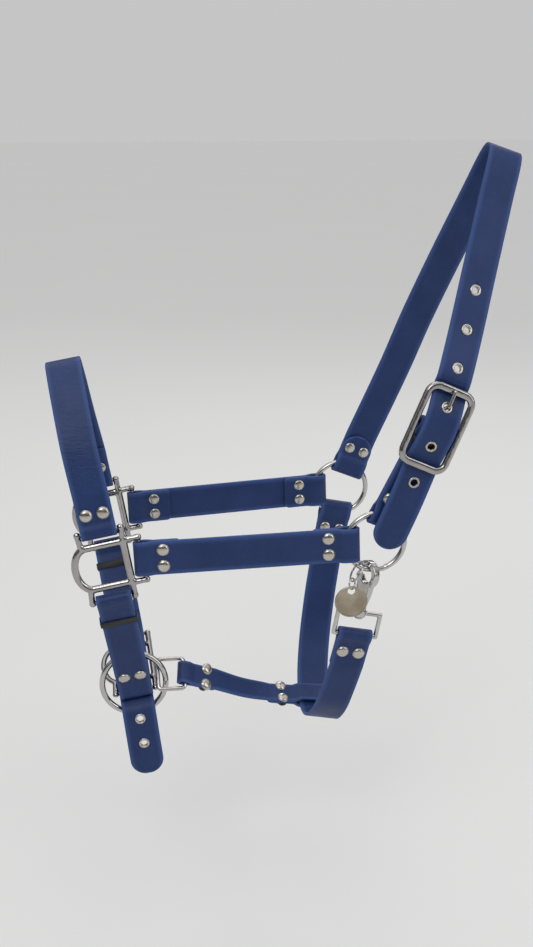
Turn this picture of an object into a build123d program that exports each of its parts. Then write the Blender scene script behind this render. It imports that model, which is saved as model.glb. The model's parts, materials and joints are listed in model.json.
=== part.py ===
from build123d import *
from math import acos, asin, atan2, cos, degrees, radians, sin, sqrt
import os

# Head halter, millimetres. +X runs from the nose to the poll, -Y is the near side and +Z is up.
# The origin is where the crown strap rests on what holds it up: its underside at the highest bend.

# Straps
strap_width = 25.0
link_front_width = 16.4
strap_thickness = 2.5
gap = 0.3
fold_taper = 6.5

# Rings and castings
cheek_ring_radius = 21.0
cheek_ring_wire = 4.0
lead_ring_radius = 23.8
lead_ring_wire = 4.5
bar = 4.0
square_bar = 5.2
pin = 3.0
ring_fold_wire = cheek_ring_wire + 0.6
ring_half_spread = 65.5
square_half_spread = 57.5

# Places
ring_x, ring_z = -101.0, -266.0
square_x, square_z = -290.0, -277.0
square_tilt = 10.0
chin_centre = Vector(-273.0, 1.5, -380.0)
chin_pitch = 29.0
chin_roll = 8.0
lead_ring_centre = Vector(-273.6, -19.9, -386.5)
buckle_angle = 66.0
buckle_distance = 93.5
buckle_sink = 10.0

# Fasteners
rivet_radius = 1.5
rivet_cap_radius = 4.6
rivet_cap_height = 2.0
rivet_spread = 6.0
eyelet_hole = 2.5
eyelet_barrel = 3.1
eyelet_flange = 4.1

UP = Vector(0, 0, 1)


def unit(x, y, z):
    return Vector(x, y, z).normalized()


def tilted(angle):
    """Along and across directions of a piece turned by angle in the XZ plane."""
    a = radians(angle)
    return Vector(cos(a), 0, sin(a)), Vector(-sin(a), 0, cos(a))


def save(shape, name):
    shape.label = name
    export_step(shape, f"parts/{name}.step")


# ---------------------------------------------------------------- strap building blocks


def strap_plane(origin, along, outward):
    """Local x runs along the strap, y out of its face and z across its width."""
    along = along.normalized()
    outward = (outward - along * outward.dot(along)).normalized()
    return Plane(origin=origin, x_dir=along, z_dir=along.cross(outward))


def teardrop(radius, slack, tip):
    """Closed outline round a wire: a round end, straight sides as long as slack, then a taper to tip."""
    a = acos(radius / tip)
    top = (slack + radius * cos(a), radius * sin(a))
    low = (top[0], -top[1])
    return make_face([
        Line((slack + tip, 0), top),
        Line(top, (0, radius)),
        ThreePointArc((0, radius), (-radius, 0), (0, -radius)),
        Line((0, -radius), low),
        Line(low, (slack + tip, 0)),
    ])


def folded_end(plane, wire, slack, length, width=strap_width, rivets=(), slot=0.0):
    """The end of a strap folded back round a wire, with its round end on the plane's origin."""
    inner = wire / 2 + gap
    outer = inner + strap_thickness
    a = acos(inner / fold_taper)
    shoulder = slack + (outer - strap_thickness * sin(a)) / cos(a)
    top = (slack + outer * cos(a), outer * sin(a))
    low = (top[0], -top[1])
    shell = make_face([
        Line((length, strap_thickness), (shoulder, strap_thickness)),
        Line((shoulder, strap_thickness), top),
        Line(top, (0, outer)),
        ThreePointArc((0, outer), (-outer, 0), (0, -outer)),
        Line((0, -outer), low),
        Line(low, (shoulder, -strap_thickness)),
        Line((shoulder, -strap_thickness), (length, -strap_thickness)),
        Line((length, -strap_thickness), (length, strap_thickness)),
    ])
    body = extrude(shell - teardrop(inner, slack, fold_taper), width / 2, both=True)
    for s in rivets:
        for w in (-rivet_spread, rivet_spread):
            body -= Pos(s, 0, w) * Rot(90, 0, 0) * Cylinder(rivet_radius + 0.05, 3 * strap_thickness)
    if slot:
        body -= Box(2 * outer, 3 * outer, slot)
    return plane * body


def stub_end(plane, length):
    """Middle of the outer layer where a folded end stops."""
    return plane.origin + plane.x_dir * length + plane.y_dir * (strap_thickness / 2)


def smooth(points, count):
    """Points along a Catmull-Rom curve through the given ones, count to a span."""
    ends = [points[0] * 2 - points[1], *points, points[-1] * 2 - points[-2]]
    out = []
    for i in range(len(points) - 1):
        a, b, c, d = ends[i:i + 4]
        for k in range(count):
            t = k / count
            out.append(
                (b * 2 + (c - a) * t + (a * 2 - b * 5 + c * 4 - d) * t**2
                 + (b * 3 - a - c * 3 + d) * t**3) * 0.5
            )
    return out + [points[-1]]


def stations(points, sides, count, first=None, last=None):
    """Planes along a ribbon: x across its width, y out of its face, z along it."""
    places = smooth(points, count)
    across = smooth(sides, count)
    planes = []
    for i, place in enumerate(places):
        ahead = places[min(i + 1, len(places) - 1)] - places[max(i - 1, 0)]
        if i == 0 and first is not None:
            ahead = first
        if i == len(places) - 1 and last is not None:
            ahead = last
        ahead = ahead.normalized()
        side = across[i] - ahead * across[i].dot(ahead)
        planes.append(Plane(origin=place, x_dir=side.normalized(), z_dir=ahead))
    return planes


def ribbon(planes, width=strap_width, tip=0.0):
    """A strap through the stations, with a round end of radius tip past the last one."""
    sections = [plane * Rectangle(width, strap_thickness) for plane in planes]
    for step in range(1, 7) if tip else ():
        angle = radians(90 - 14 * step)
        last = planes[-1]
        place = last.origin + last.z_dir * (tip * cos(angle))
        narrow = width - 2 * tip * (1 - sin(angle))
        section = Plane(origin=place, x_dir=last.x_dir, z_dir=last.z_dir)
        sections.append(section * Rectangle(narrow, strap_thickness))
    return loft(sections, ruled=True)


# ---------------------------------------------------------------- fasteners


def dome(radius, height):
    """A shallow domed cap, flat side on the XY plane."""
    ball = (radius**2 + height**2) / (2 * height)
    cap = Pos(0, 0, height - ball) * Sphere(ball)
    return cap & Pos(0, 0, height) * Box(4 * radius, 4 * radius, 2 * height)


def rivet(back=strap_thickness, front=strap_thickness):
    """A double-cap rivet along local y, through the layers between -back and front."""
    shank = Pos(0, 0, (front - back) / 2) * Cylinder(rivet_radius, front + back)
    cap = Pos(0, 0, front) * dome(rivet_cap_radius, rivet_cap_height)
    tail = Pos(0, 0, -back) * Rot(180, 0, 0) * dome(rivet_cap_radius * 0.9, rivet_cap_height * 0.6)
    return Rot(-90, 0, 0) * (cap + shank + tail)


def rivet_pair(plane, s):
    return [plane * Pos(s, 0, w) * rivet() for w in (-rivet_spread, rivet_spread)]


def eyelet(plane):
    """A rolled eyelet through a strap whose middle is on the plane's origin, along local y."""
    barrel = Cylinder(eyelet_barrel, strap_thickness + 0.1)
    flange = Cylinder(eyelet_flange, 0.7)
    lift = strap_thickness / 2 + 0.4
    body = barrel + Pos(0, 0, lift) * flange + Pos(0, 0, -lift) * flange
    body -= Cylinder(eyelet_hole, 4 * strap_thickness)
    return plane * Rot(90, 0, 0) * body


def eyelet_hole_tool(plane):
    return plane * Rot(90, 0, 0) * Cylinder(eyelet_barrel + 0.05, 2 * strap_thickness)


# ---------------------------------------------------------------- rings and castings


def wire_ring(centre, axis, radius, wire):
    return Plane(origin=centre, z_dir=axis) * Torus(radius, wire / 2)


def rod(a, b, radius):
    span = b - a
    return Plane(origin=(a + b) / 2, z_dir=span) * Cylinder(radius, span.length)


def ball(place, radius):
    return Pos(*place) * Sphere(radius)


# Stopped square, in its own plane: local x towards the cheek strap, local y up
square_right = 14.0
square_top = 15.5
square_left = -13.0
prong_left = -16.5
pin_out = 26.0
bow_depth = 10.0
side_pin_out = 24.5
side_prong = 16.2
prong = 4.2
prong_ball = 2.4
plate_thickness = 4.0
slot_middle = (prong_left + square_right) / 2


def flat_bar(a, b, width):
    """A round-ended flat bar between two points of a sketch."""
    span = b - a
    angle = degrees(atan2(span.Y, span.X))
    return Pos(*((a + b) / 2)) * SlotCenterToCenter(span.length, width, rotation=angle)


def square_casting(plane, width, side_pin):
    """D frame with a bow on the nose side and outer pins held between pairs of prongs."""
    top, low = Vector(square_right, square_top), Vector(square_right, -square_top)
    half = width / 2
    bow = Ellipse(bow_depth + half, square_top + half) - Ellipse(bow_depth - half, square_top - half)
    outline = Pos(square_left, 0) * (bow - Pos(20, 0) * Rectangle(40, 60)) + flat_bar(top, low, width)
    for y in (-1, 1):
        corner = Vector(prong_left + 0.8, y * square_top)
        outline += flat_bar(Vector(square_right, y * square_top), corner, width)
        for x in (prong_left, square_right):
            outline += flat_bar(Vector(max(x, corner.X), y * square_top), Vector(x, y * pin_out), prong)
            outline += Pos(x, y * pin_out) * Circle(prong_ball)
        if side_pin:
            inner, outer = Vector(square_right, y * side_prong), Vector(side_pin_out, y * side_prong)
            outline += flat_bar(inner, outer, prong) + Pos(*outer) * Circle(prong_ball)
    body = extrude(outline, plate_thickness / 2, both=True)
    for y in (-pin_out, pin_out):
        body += rod(Vector(prong_left, y, 0), Vector(square_right, y, 0), pin / 2)
    if side_pin:
        body += rod(Vector(side_pin_out, -side_prong, 0), Vector(side_pin_out, side_prong, 0), pin / 2)
    return plane * body


def square_plane(side):
    along, up = tilted(square_tilt)
    return Plane(origin=(square_x, side * square_half_spread, square_z), x_dir=along, z_dir=along.cross(up))


def chin_plane():
    along, _ = tilted(chin_roll)
    p = radians(chin_pitch)
    up = Vector(0, cos(p), sin(p))
    up = (up - along * up.dot(along)).normalized()
    return Plane(origin=chin_centre, x_dir=along, z_dir=along.cross(up))


def on(plane, x, y, z=0.0):
    return plane.from_local_coords(Vector(x, y, z))


def ring_centre(side):
    return Vector(ring_x, side * ring_half_spread, ring_z)


def pin_seat(place, along, slack):
    """Where a fold's round end goes so that the pin lies in the middle of its slack."""
    return place - along.normalized() * (slack / 2)


def ring_seat(radius, width):
    """How far from a ring's centre a straight fold of this width can lie on the wire."""
    return sqrt(radius**2 - (width / 2) ** 2) - 0.5


# ---------------------------------------------------------------- cheek straps


def cheek_strap(side):
    out = Vector(0, side, 0)
    front = on(square_plane(side), side_pin_out, 0)
    seat = ring_seat(cheek_ring_radius, strap_width)
    rear = ring_centre(side) + Vector(-seat, 0, -1.0)
    along = (rear - front).normalized()
    length = 26.0
    nose_end = strap_plane(pin_seat(front, along, 3.8), along, out)
    poll_end = strap_plane(rear, -along, out)
    body = folded_end(nose_end, pin, 3.8, length, rivets=(16.5,))
    body += folded_end(poll_end, ring_fold_wire, 5.6, length, rivets=(17.5,))
    start, stop = stub_end(nose_end, length), stub_end(poll_end, length)
    up = nose_end.z_dir
    body += ribbon([Plane(origin=p, x_dir=up, z_dir=along) for p in (start, stop)])
    name = "near" if side < 0 else "far"
    save(body, f"{name}_cheek_strap")
    save(Compound(children=rivet_pair(nose_end, 16.5)), f"{name}_cheek_front_rivets")
    save(Compound(children=rivet_pair(poll_end, 17.5)), f"{name}_cheek_rear_rivets")


# ---------------------------------------------------------------- nose strap

nose_top = Vector(-316.0, 0.0, -143.0)
nose_bends = ((-46.0, 52.0), (-27.0, 20.0), (-11.0, 3.5), (0.0, 0.0), (11.0, 3.5), (27.0, 20.0), (46.0, 52.0))


def nose_strap():
    _, up = tilted(square_tilt)
    across = Vector(up.Z, 0, -up.X)
    length = 26.0
    ends = []
    body = None
    for side in (-1, 1):
        seat = on(square_plane(side), slot_middle, pin_out)
        along = (up + Vector(0, -side * 0.1, 0)).normalized()
        end = strap_plane(pin_seat(seat, along, 1.0), along, Vector(0, side, 0))
        part = folded_end(end, pin, 1.0, length, rivets=(13.5,))
        body = part if body is None else body + part
        ends.append(end)
        save(Compound(children=rivet_pair(end, 13.5)), ("near" if side < 0 else "far") + "_nose_rivets")
    near, far = (stub_end(end, length) for end in ends)
    middle = []
    for y, down in nose_bends:
        middle.append(nose_top + Vector(0, y, 0) - up * down)
    points = [near, *middle, far]
    planes = stations(points, [across] * len(points), 3, ends[0].x_dir, -ends[1].x_dir)
    body += ribbon(planes)
    save(body, "nose_strap")


# ---------------------------------------------------------------- crown strap and its buckle

buckle_along, _ = tilted(buckle_angle)
buckle_centre = ring_centre(-1) + buckle_along * buckle_distance + Vector(0, -buckle_sink, 0)
buckle_half_long = 26.0
buckle_opening = 28.5
buckle_rim = 4.8
buckle_rise_top = 1.6
buckle_rise_low = 5.0
centre_bar = 3.5
crown_fold = 28.0


def buckle_plane():
    """Local x along the buckle, y outwards and z across it."""
    return strap_plane(buckle_centre, buckle_along, Vector(0, -1, 0))


def buckle_frame():
    """Rounded rectangular frame, tilted outwards at its lower end, with a centre bar."""
    length = 2 * (buckle_half_long + buckle_rim)
    width = buckle_opening + 2 * buckle_rim
    outline = RectangleRounded(length, width, 10.0)
    opening = RectangleRounded(length - 2 * buckle_rim - 2.0, buckle_opening, 4.5)
    frame = extrude(outline - opening, 2.2, both=True)
    frame = chamfer(frame.edges().group_by(Axis.Z)[-1], 1.2)
    rise = (buckle_rise_top + buckle_rise_low) / 2
    tilt = degrees(asin((buckle_rise_top - buckle_rise_low) / (2 * buckle_half_long)))
    frame = Pos(0, rise, 0) * Rot(0, 0, tilt) * Rot(-90, 0, 0) * frame
    across = Cylinder(centre_bar / 2, buckle_opening + 2.0)
    return buckle_plane() * (frame + across)


tongue_width = 3.6


def buckle_tongue():
    """A bar rolled round the centre bar, its tip resting on the upper end of the frame."""
    inner = centre_bar / 2 + 0.08
    eye = Cylinder(inner + 1.6, tongue_width) - Cylinder(inner, 2 * tongue_width)
    bends = [Vector(0, inner + 0.9, 0), Vector(7.5, 2.0, 0), Vector(14.0, 0.2, 0), Vector(17.0, 6.6, 0)]
    bends.append(Vector(buckle_half_long + 2.0, buckle_rise_top + 3.75, 0))
    shaft = ball(bends[-1], 1.4)
    for a, b in zip(bends, bends[1:]):
        shaft += rod(a, b, 1.4) + ball(a, 1.4)
    shaft -= Cylinder(inner, 2 * tongue_width)
    return buckle_plane() * (eye + shaft)


def crown_line():
    """Middle of the crown strap from the far ring over the top and through the buckle, and its width."""
    plane = buckle_plane()
    far_along, _ = tilted(68.0)
    seat = ring_seat(cheek_ring_radius, strap_width)
    far_seat = ring_centre(1) + far_along * seat
    far_end = strap_plane(far_seat, far_along + Vector(0, -0.02, 0), Vector(0, 1, 0))
    start = stub_end(far_end, crown_fold)
    top = Vector(0, 0, strap_thickness / 2)
    far_down, near_down = tilted(70.5)[0], tilted(72.0)[0]
    points, sides = [start], [68.0]
    for y, down in ((62.0, 180.0), (54.0, 135.0), (39.0, 85.0), (21.0, 36.0), (10.0, 6.5)):
        points.append(top + Vector(0, y, 0) - far_down * down)
        sides.append(70.5)
    points.append(top)
    sides.append(71.0)
    for y, down in ((-10.0, 6.5), (-21.0, 36.0), (-40.0, 85.0), (-56.0, 125.0)):
        points.append(top + Vector(0, y, 0) - near_down * down)
        sides.append(72.0)
    for x, y, z, angle in (
        (38.0, -4.6, -1.9, 69.0), (29.0, -3.9, -1.1, 68.0), (23.0, -1.0, -0.8, 68.0), (15.5, 3.4, -0.5, 67.5),
        (7.5, 6.0, 0.0, 67.0), (-4.0, 6.3, 0.8, 66.0), (-16.0, 3.6, 1.2, 65.5), (-26.0, 1.0, 1.6, 65.0),
        (-38.0, 0.8, 2.3, 64.5), (-60.0, 0.4, 3.4, 64.5), (-81.0, -0.6, 4.0, 64.5),
    ):
        points.append(on(plane, x, y, z))
        sides.append(angle)
    across = [Vector(sin(radians(a)), 0, -cos(radians(a))) for a in sides]
    return far_end, points, across


def nearest(planes, place):
    return min(planes, key=lambda plane: (plane.origin - place).length)


def eyelet_row(planes, start, pitch, before, after):
    """Planes at even spacing along a ribbon, counted from the one nearest to start."""
    steps = [0.0]
    for a, b in zip(planes, planes[1:]):
        steps.append(steps[-1] + (b.origin - a.origin).length)
    first = steps[planes.index(nearest(planes, start))]
    seats = []
    for k in range(-before, after + 1):
        i = min(range(len(steps)), key=lambda n: abs(steps[n] - first - pitch * k))
        here = planes[i]
        place = here.origin + here.z_dir * (first + pitch * k - steps[i])
        seats.append(Plane(origin=place, x_dir=here.x_dir, z_dir=here.x_dir.cross(here.y_dir)))
    return seats


def crown_strap():
    far_end, points, across = crown_line()
    planes = stations(points, across, 3, far_end.x_dir)
    body = folded_end(far_end, ring_fold_wire, 5.6, crown_fold, rivets=(17.5,))
    body += ribbon(planes, tip=strap_width / 2)
    seats = eyelet_row(planes, on(buckle_plane(), 15.5, 3.4, -0.5), 29.0, 3, 2)
    for seat in seats:
        body -= eyelet_hole_tool(seat)
    save(body, "crown_strap")
    save(Compound(children=[eyelet(seat) for seat in seats]), "crown_eyelets")
    save(Compound(children=rivet_pair(far_end, 17.5)), "crown_far_rivets")


def buckle_strap():
    seat = ring_seat(cheek_ring_radius, strap_width)
    low = ring_centre(-1) + buckle_along * seat
    along = (buckle_centre - low).normalized()
    low_end = strap_plane(low, along, Vector(0, -1, 0))
    top_end = strap_plane(buckle_centre, -along, Vector(0, -1, 0))
    span = (buckle_centre - low).length
    body = folded_end(low_end, ring_fold_wire + 0.4, 5.6, span / 2, rivets=(17.7,))
    body += folded_end(top_end, centre_bar, 0.0, span / 2, slot=tongue_width + 1.2)
    save(body, "buckle_strap")
    save(Compound(children=rivet_pair(low_end, 17.7)), "buckle_strap_rivets")
    save(keeper(top_end, 12.0), "buckle_keeper")


def keeper(plane, s, layers=2, width=strap_width):
    """A flat band round the layers of a strap, slack enough to slide."""
    high = strap_thickness * layers + 2 * gap
    wide = width + 2 * gap
    band = Box(5.0, high + 1.6, wide + 1.6) - Box(10.0, high, wide)
    return plane * Pos(s, 0, 0) * band


# ---------------------------------------------------------------- chin assembly


def near_chin_strap():
    top = on(square_plane(-1), slot_middle, -pin_out)
    low = on(chin_plane(), slot_middle, -pin_out)
    along = (low - top).normalized()
    out = Vector(0, -1, 0)
    upper = strap_plane(pin_seat(top, along, 1.6), along, out)
    lower = strap_plane(pin_seat(low, -along, 1.6), -along, out)
    half = (low - top).length / 2 + 0.8
    body = folded_end(upper, pin, 1.6, half) + folded_end(lower, pin, 1.6, half, rivets=(19.5,))
    save(body, "near_chin_strap")
    save(Compound(children=rivet_pair(lower, 19.5)), "near_chin_rivets")
    save(keeper(upper, 21.0), "near_chin_keeper")


def far_chin_strap():
    """From the far square over the chin casting, down through its near slot and on as a free tail."""
    top = on(square_plane(1), slot_middle, -pin_out)
    casting = chin_plane()
    over = on(casting, slot_middle, 27.0, 6.2)
    along = (over - top).normalized()
    upper = strap_plane(pin_seat(top, along, 1.6), along, Vector(0, 1, 0))
    length = 54.0
    start = stub_end(upper, length)
    clear = bar / 2 + 1.0 + gap + strap_thickness / 2
    points = [start]
    for y, z in ((28.0, 5.4), (20.0, clear + 0.4), (0.0, clear + 0.1), (-11.0, clear)):
        points.append(on(casting, slot_middle, y, z))
    for angle in (115, 140, 165, 185):
        a = radians(angle)
        points.append(on(casting, slot_middle, -square_top + clear * cos(a), clear * sin(a)))
    for x, y, z in ((0.1, -14.8, -393.6), (0.3, -16.6, -397.6), (0.9, -21.8, -401.2), (1.6, -26.4, -406.0),
                    (2.6, -28.6, -414.0), (4.5, -29.4, -430.0), (6.5, -29.6, -446.0)):
        points.append(Vector(low_x() + x, y, z))
    across = [casting.x_dir] * len(points)
    across[0] = upper.z_dir
    planes = stations(points, across, 3, upper.x_dir)
    body = folded_end(upper, pin, 1.6, length, rivets=(46.0,)) + ribbon(planes, tip=11.0)
    seats = eyelet_row(planes, Vector(low_x() + 3.0, -28.8, -412.5), 20.0, 0, 1)
    for seat in seats:
        body -= eyelet_hole_tool(seat)
    save(body, "far_chin_strap")
    save(Compound(children=[eyelet(seat) for seat in seats]), "chin_eyelets")
    save(Compound(children=rivet_pair(upper, 46.0)), "far_chin_rivets")
    save(keeper(upper, 17.0), "far_chin_keeper")


def low_x():
    return on(chin_plane(), slot_middle, -pin_out).X


loop_wire = 3.2
loop_tilt = 43.0
loop_length = 20.0
loop_height = 23.5
loop_corner = 3.0
loop_reach = 4.2


def loop_plane():
    """Local x along the chin link, y up the loop and z out of it."""
    a = radians(loop_tilt)
    centre = lead_ring_centre + Vector(lead_ring_radius + loop_reach, 0, 5.5)
    return Plane(origin=centre, x_dir=(1, 0, 0), z_dir=Vector(0, -cos(a), sin(a)))


def chin_loop():
    outline = RectangleRounded(loop_length, loop_height, loop_corner).wire()
    start = outline.edges()[0]
    wire = sweep(Plane(origin=start @ 0, z_dir=start % 0) * Circle(loop_wire / 2), path=outline)
    return loop_plane() * wire


# ---------------------------------------------------------------- throat strap and chin link

throat_lean = 11.0
throat_across, throat_up = tilted(-throat_lean)
throat_down = -throat_up
snap_reach = 51.0


def throat_point(y, down):
    """A point in the throat strap's own plane: y across the head and down from the rings' height."""
    return Vector(ring_x, y, ring_z) + throat_down * down


def throat_ends():
    near = throat_point(-ring_half_spread, cheek_ring_radius + snap_reach)
    far = throat_point(ring_half_spread, ring_seat(cheek_ring_radius, strap_width))
    near_along = throat_down + Vector(0, 0.16, 0)
    far_along = throat_down + Vector(0, -0.05, 0)
    near_end = strap_plane(pin_seat(near, near_along, 1.0), near_along, Vector(0, -1, 0))
    return near_end, strap_plane(far, far_along, Vector(0, 1, 0))


throat_bends = ((-54.0, 122.0), (-45.0, 141.0), (-30.0, 156.0), (-12.0, 161.5), (7.0, 158.0), (27.0, 145.0),
                (43.0, 123.0), (54.5, 95.0), (60.5, 70.0))


def throat_strap():
    near_end, far_end = throat_ends()
    length = 26.0
    points = [stub_end(near_end, length)]
    for y, down in throat_bends:
        points.append(throat_point(y, down))
    points.append(stub_end(far_end, length))
    planes = stations(points, [throat_across] * len(points), 4, near_end.x_dir, -far_end.x_dir)
    body = folded_end(near_end, loop_bar, 1.0, length, rivets=(14.5,))
    far_fold = folded_end(far_end, ring_fold_wire, 5.6, length, rivets=(17.5,))
    cheek_corner = Pos(ring_x - 15.0, ring_half_spread, ring_z - 10.0) * Box(10.0, 14.0, 9.6)
    body += (far_fold - cheek_corner) + ribbon(planes)
    save(body, "throat_strap")
    save(Compound(children=rivet_pair(near_end, 14.5)), "throat_near_rivets")
    save(Compound(children=rivet_pair(far_end, 17.5)), "throat_far_rivets")


def chin_link_strap():
    """From the oval loop to the throat strap, which its rear end wraps round."""
    plane = loop_plane()
    bar_middle = on(plane, loop_length / 2, 0)
    rise = throat_point(27.0, 145.0) - throat_point(-12.0, 161.5)
    run = rise.normalized()
    wrapped = throat_point(7.0, 157.6)
    face = throat_across.cross(run)
    face = face if face.Z > 0 else -face
    back = (-throat_across + Vector(0, -0.12, 0)).normalized()
    cavity, grip = 5.4, 23.0
    stop = strap_plane(wrapped - back * (grip / 2), back, face)
    rear = stub_end(stop, 48.0)
    ahead = (rear - bar_middle).normalized()
    start = strap_plane(pin_seat(bar_middle, ahead, 1.6), ahead, plane.z_dir)
    body = folded_end(start, loop_wire + 0.7, 1.6, 27.0, width=link_front_width, rivets=(19.0,))
    body += folded_end(stop, cavity, grip, 48.0, width=link_front_width, rivets=(39.0,))
    front = stub_end(start, 27.0)
    middle = (front + rear) / 2 + Vector(0, 0, -1.5)
    sides = [start.z_dir, start.z_dir - stop.z_dir, -stop.z_dir]
    planes = stations([front, middle, rear], [v.normalized() for v in sides], 6, start.x_dir, -stop.x_dir)
    body += ribbon(planes, width=link_front_width)
    save(body, "chin_link_strap")
    save(Compound(children=rivet_pair(start, 19.0)), "chin_link_front_rivets")
    save(Compound(children=rivet_pair(stop, 39.0)), "chin_link_rear_rivets")


# ---------------------------------------------------------------- snap hook

snap_yaw = 25.0
loop_bar = 3.4
eye_inner = 6.4
eye_outer = 10.2
snap_thickness = 5.0
eye_drop = eye_inner - cheek_ring_wire / 2 - 0.5
shank_end = 25.0
boss_top = 27.3
boss_height = 5.0
stem_radius = 2.0


def snap_plane(yaw):
    """Local y up the snap from the middle of its eye and x towards its gate."""
    centre = throat_point(-ring_half_spread, cheek_ring_radius + eye_drop)
    a = radians(yaw)
    aside = Vector(0, cos(a), 0) - throat_across * sin(a)
    return Plane(origin=centre, x_dir=aside, z_dir=aside.cross(throat_up))


def snap_body():
    """Open hook, shank and collar, with the swivel's stem and head below."""
    eye = Circle(eye_outer) - Circle(eye_inner)
    mouth = make_face(Polyline((0, 0), (30, -11), (30, 12), (0, 0), close=True))
    shank = make_face(Polyline((-7.0, -5.0), (7.5, -6.5), (6.5, -13.0), (3.2, -shank_end), (-3.2, -shank_end),
                               (-6.0, -14.0), close=True)) - Circle(eye_inner)
    hook = extrude((eye - mouth) + shank, snap_thickness / 2, both=True)
    slot = Pos(7.2, -8.6, 0) * Box(8.0, 13.7, 3.0)
    hook -= slot
    hook -= Pos(gate_pivot[0], gate_pivot[1], 0) * Cylinder(gate_pin_radius, 20)
    collar = Pos(0, -shank_end - 1.0, 0) * Rot(90, 0, 0) * Cylinder(4.2, 2.2)
    stem_length = boss_height + 2.0
    stem = Pos(0, -boss_top - boss_height / 2, 0) * Rot(90, 0, 0) * Cylinder(stem_radius, stem_length)
    head = Pos(0, -boss_top - boss_height - 1.0, 0) * Rot(90, 0, 0) * Cylinder(3.1, 1.4)
    return snap_plane(snap_yaw) * (hook + collar + stem + head)


gate_pivot = (6.3, -11.0)
gate_pin_radius = 0.9


def snap_gate():
    """A lever on the hinge pin that closes the hook's mouth from inside the slot."""
    x, y = gate_pivot
    lever = make_face(Polyline((x - 1.6, y - 1.5), (x + 1.7, y - 1.5), (9.4, -6.5), (11.4, -4.0), (9.8, -1.0),
                               (8.9, 1.5), (7.3, 1.1), (7.1, -1.0), (5.4, -6.6), (x - 1.6, y + 1.0), close=True))
    body = extrude(lever, 1.3, both=True)
    return snap_plane(snap_yaw) * (body - Pos(x, y, 0) * Cylinder(gate_pin_radius + 0.05, 20))


def snap_gate_pin():
    pivot = Pos(gate_pivot[0], gate_pivot[1], 0)
    return snap_plane(snap_yaw) * pivot * Cylinder(gate_pin_radius, snap_thickness)


def snap_swivel_loop():
    """A bored boss on a rectangular loop that carries the throat strap."""
    boss_middle = -boss_top - boss_height / 2
    low = eye_drop - snap_reach
    wide = strap_width / 2 + 3.2
    r = loop_bar / 2
    corners = [Vector(-wide, boss_middle, 0), Vector(wide, boss_middle, 0)]
    corners += [Vector(wide, low, 0), Vector(-wide, low, 0)]
    body = Pos(0, boss_middle, 0) * Rot(90, 0, 0) * Cylinder(4.6, boss_height)
    for a, b in zip(corners, corners[1:] + corners[:1]):
        body += rod(a, b, r) + ball(a, r)
    body -= Pos(0, boss_middle, 0) * Rot(90, 0, 0) * Cylinder(stem_radius + 0.06, 30)
    centre = snap_plane(90.0)
    return centre * (body)


# ---------------------------------------------------------------- tag

split_radius = 8.0
split_wire = 2.0
jump_radius = 3.9
jump_wire = 1.2
disc_radius = 11.8
disc_thickness = 1.2
disc_hole = 2.7
disc_rim = 1.0
tag_angle = 238.0


def tag():
    """A round tag on a small ring, on a split ring that leans out from the near cheek ring."""
    a = radians(tag_angle)
    wire = ring_centre(-1) + Vector(cos(a), 0, sin(a)) * cheek_ring_radius
    lean = unit(-0.5, -0.45, -0.74)
    middle = wire + lean * (split_radius - split_wire / 2 - cheek_ring_wire / 2 - 0.5)
    turned = unit(1, 0.3, 0)
    turned = (turned - lean * turned.dot(lean)).normalized()
    save(Plane(origin=middle, z_dir=turned) * Torus(split_radius, split_wire / 2), "tag_split_ring")
    hang = unit(-0.12, -0.2, -0.97)
    jump_inner = jump_radius - jump_wire / 2
    link = middle + lean * split_radius + hang * (jump_inner - split_wire / 2 - 0.6)
    save(wire_ring(link, unit(0.75, -0.66, 0.1), jump_radius, jump_wire), "tag_jump_ring")
    hole = link + hang * (jump_radius + disc_hole - jump_wire / 2 - 0.75)
    hole_out = disc_radius - disc_hole - disc_rim
    plate = Cylinder(disc_radius, disc_thickness) - Pos(0, hole_out, 0) * Cylinder(disc_hole, 10)
    disc = Plane(origin=hole - UP * hole_out, x_dir=(1, -0.08, 0), z_dir=unit(-0.08, -1, 0))
    save(disc * plate, "tag_disc")


def main():
    os.makedirs("parts", exist_ok=True)
    for side, name in ((-1, "near"), (1, "far")):
        ring = wire_ring(ring_centre(side), Vector(0, 1, 0), cheek_ring_radius, cheek_ring_wire)
        save(ring, f"{name}_cheek_ring")
        save(square_casting(square_plane(side), square_bar, True), f"{name}_square")
        cheek_strap(side)
    save(square_casting(chin_plane(), bar, False), "chin_square")
    save(wire_ring(lead_ring_centre, Vector(0, 1, 0), lead_ring_radius, lead_ring_wire), "lead_ring")
    save(chin_loop(), "chin_loop")
    nose_strap()
    save(buckle_frame(), "crown_buckle_frame")
    save(buckle_tongue(), "crown_buckle_tongue")
    crown_strap()
    buckle_strap()
    near_chin_strap()
    far_chin_strap()
    throat_strap()
    chin_link_strap()
    save(snap_body(), "snap_body")
    save(snap_gate(), "snap_gate")
    save(snap_gate_pin(), "snap_gate_pin")
    save(snap_swivel_loop(), "snap_swivel_loop")
    tag()


main()
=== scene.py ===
import json
from math import acos, asin, cos, degrees, exp, pi, radians, sin, sqrt

import bmesh
import bpy
from mathutils import Matrix, Vector
from mathutils.kdtree import KDTree


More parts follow.
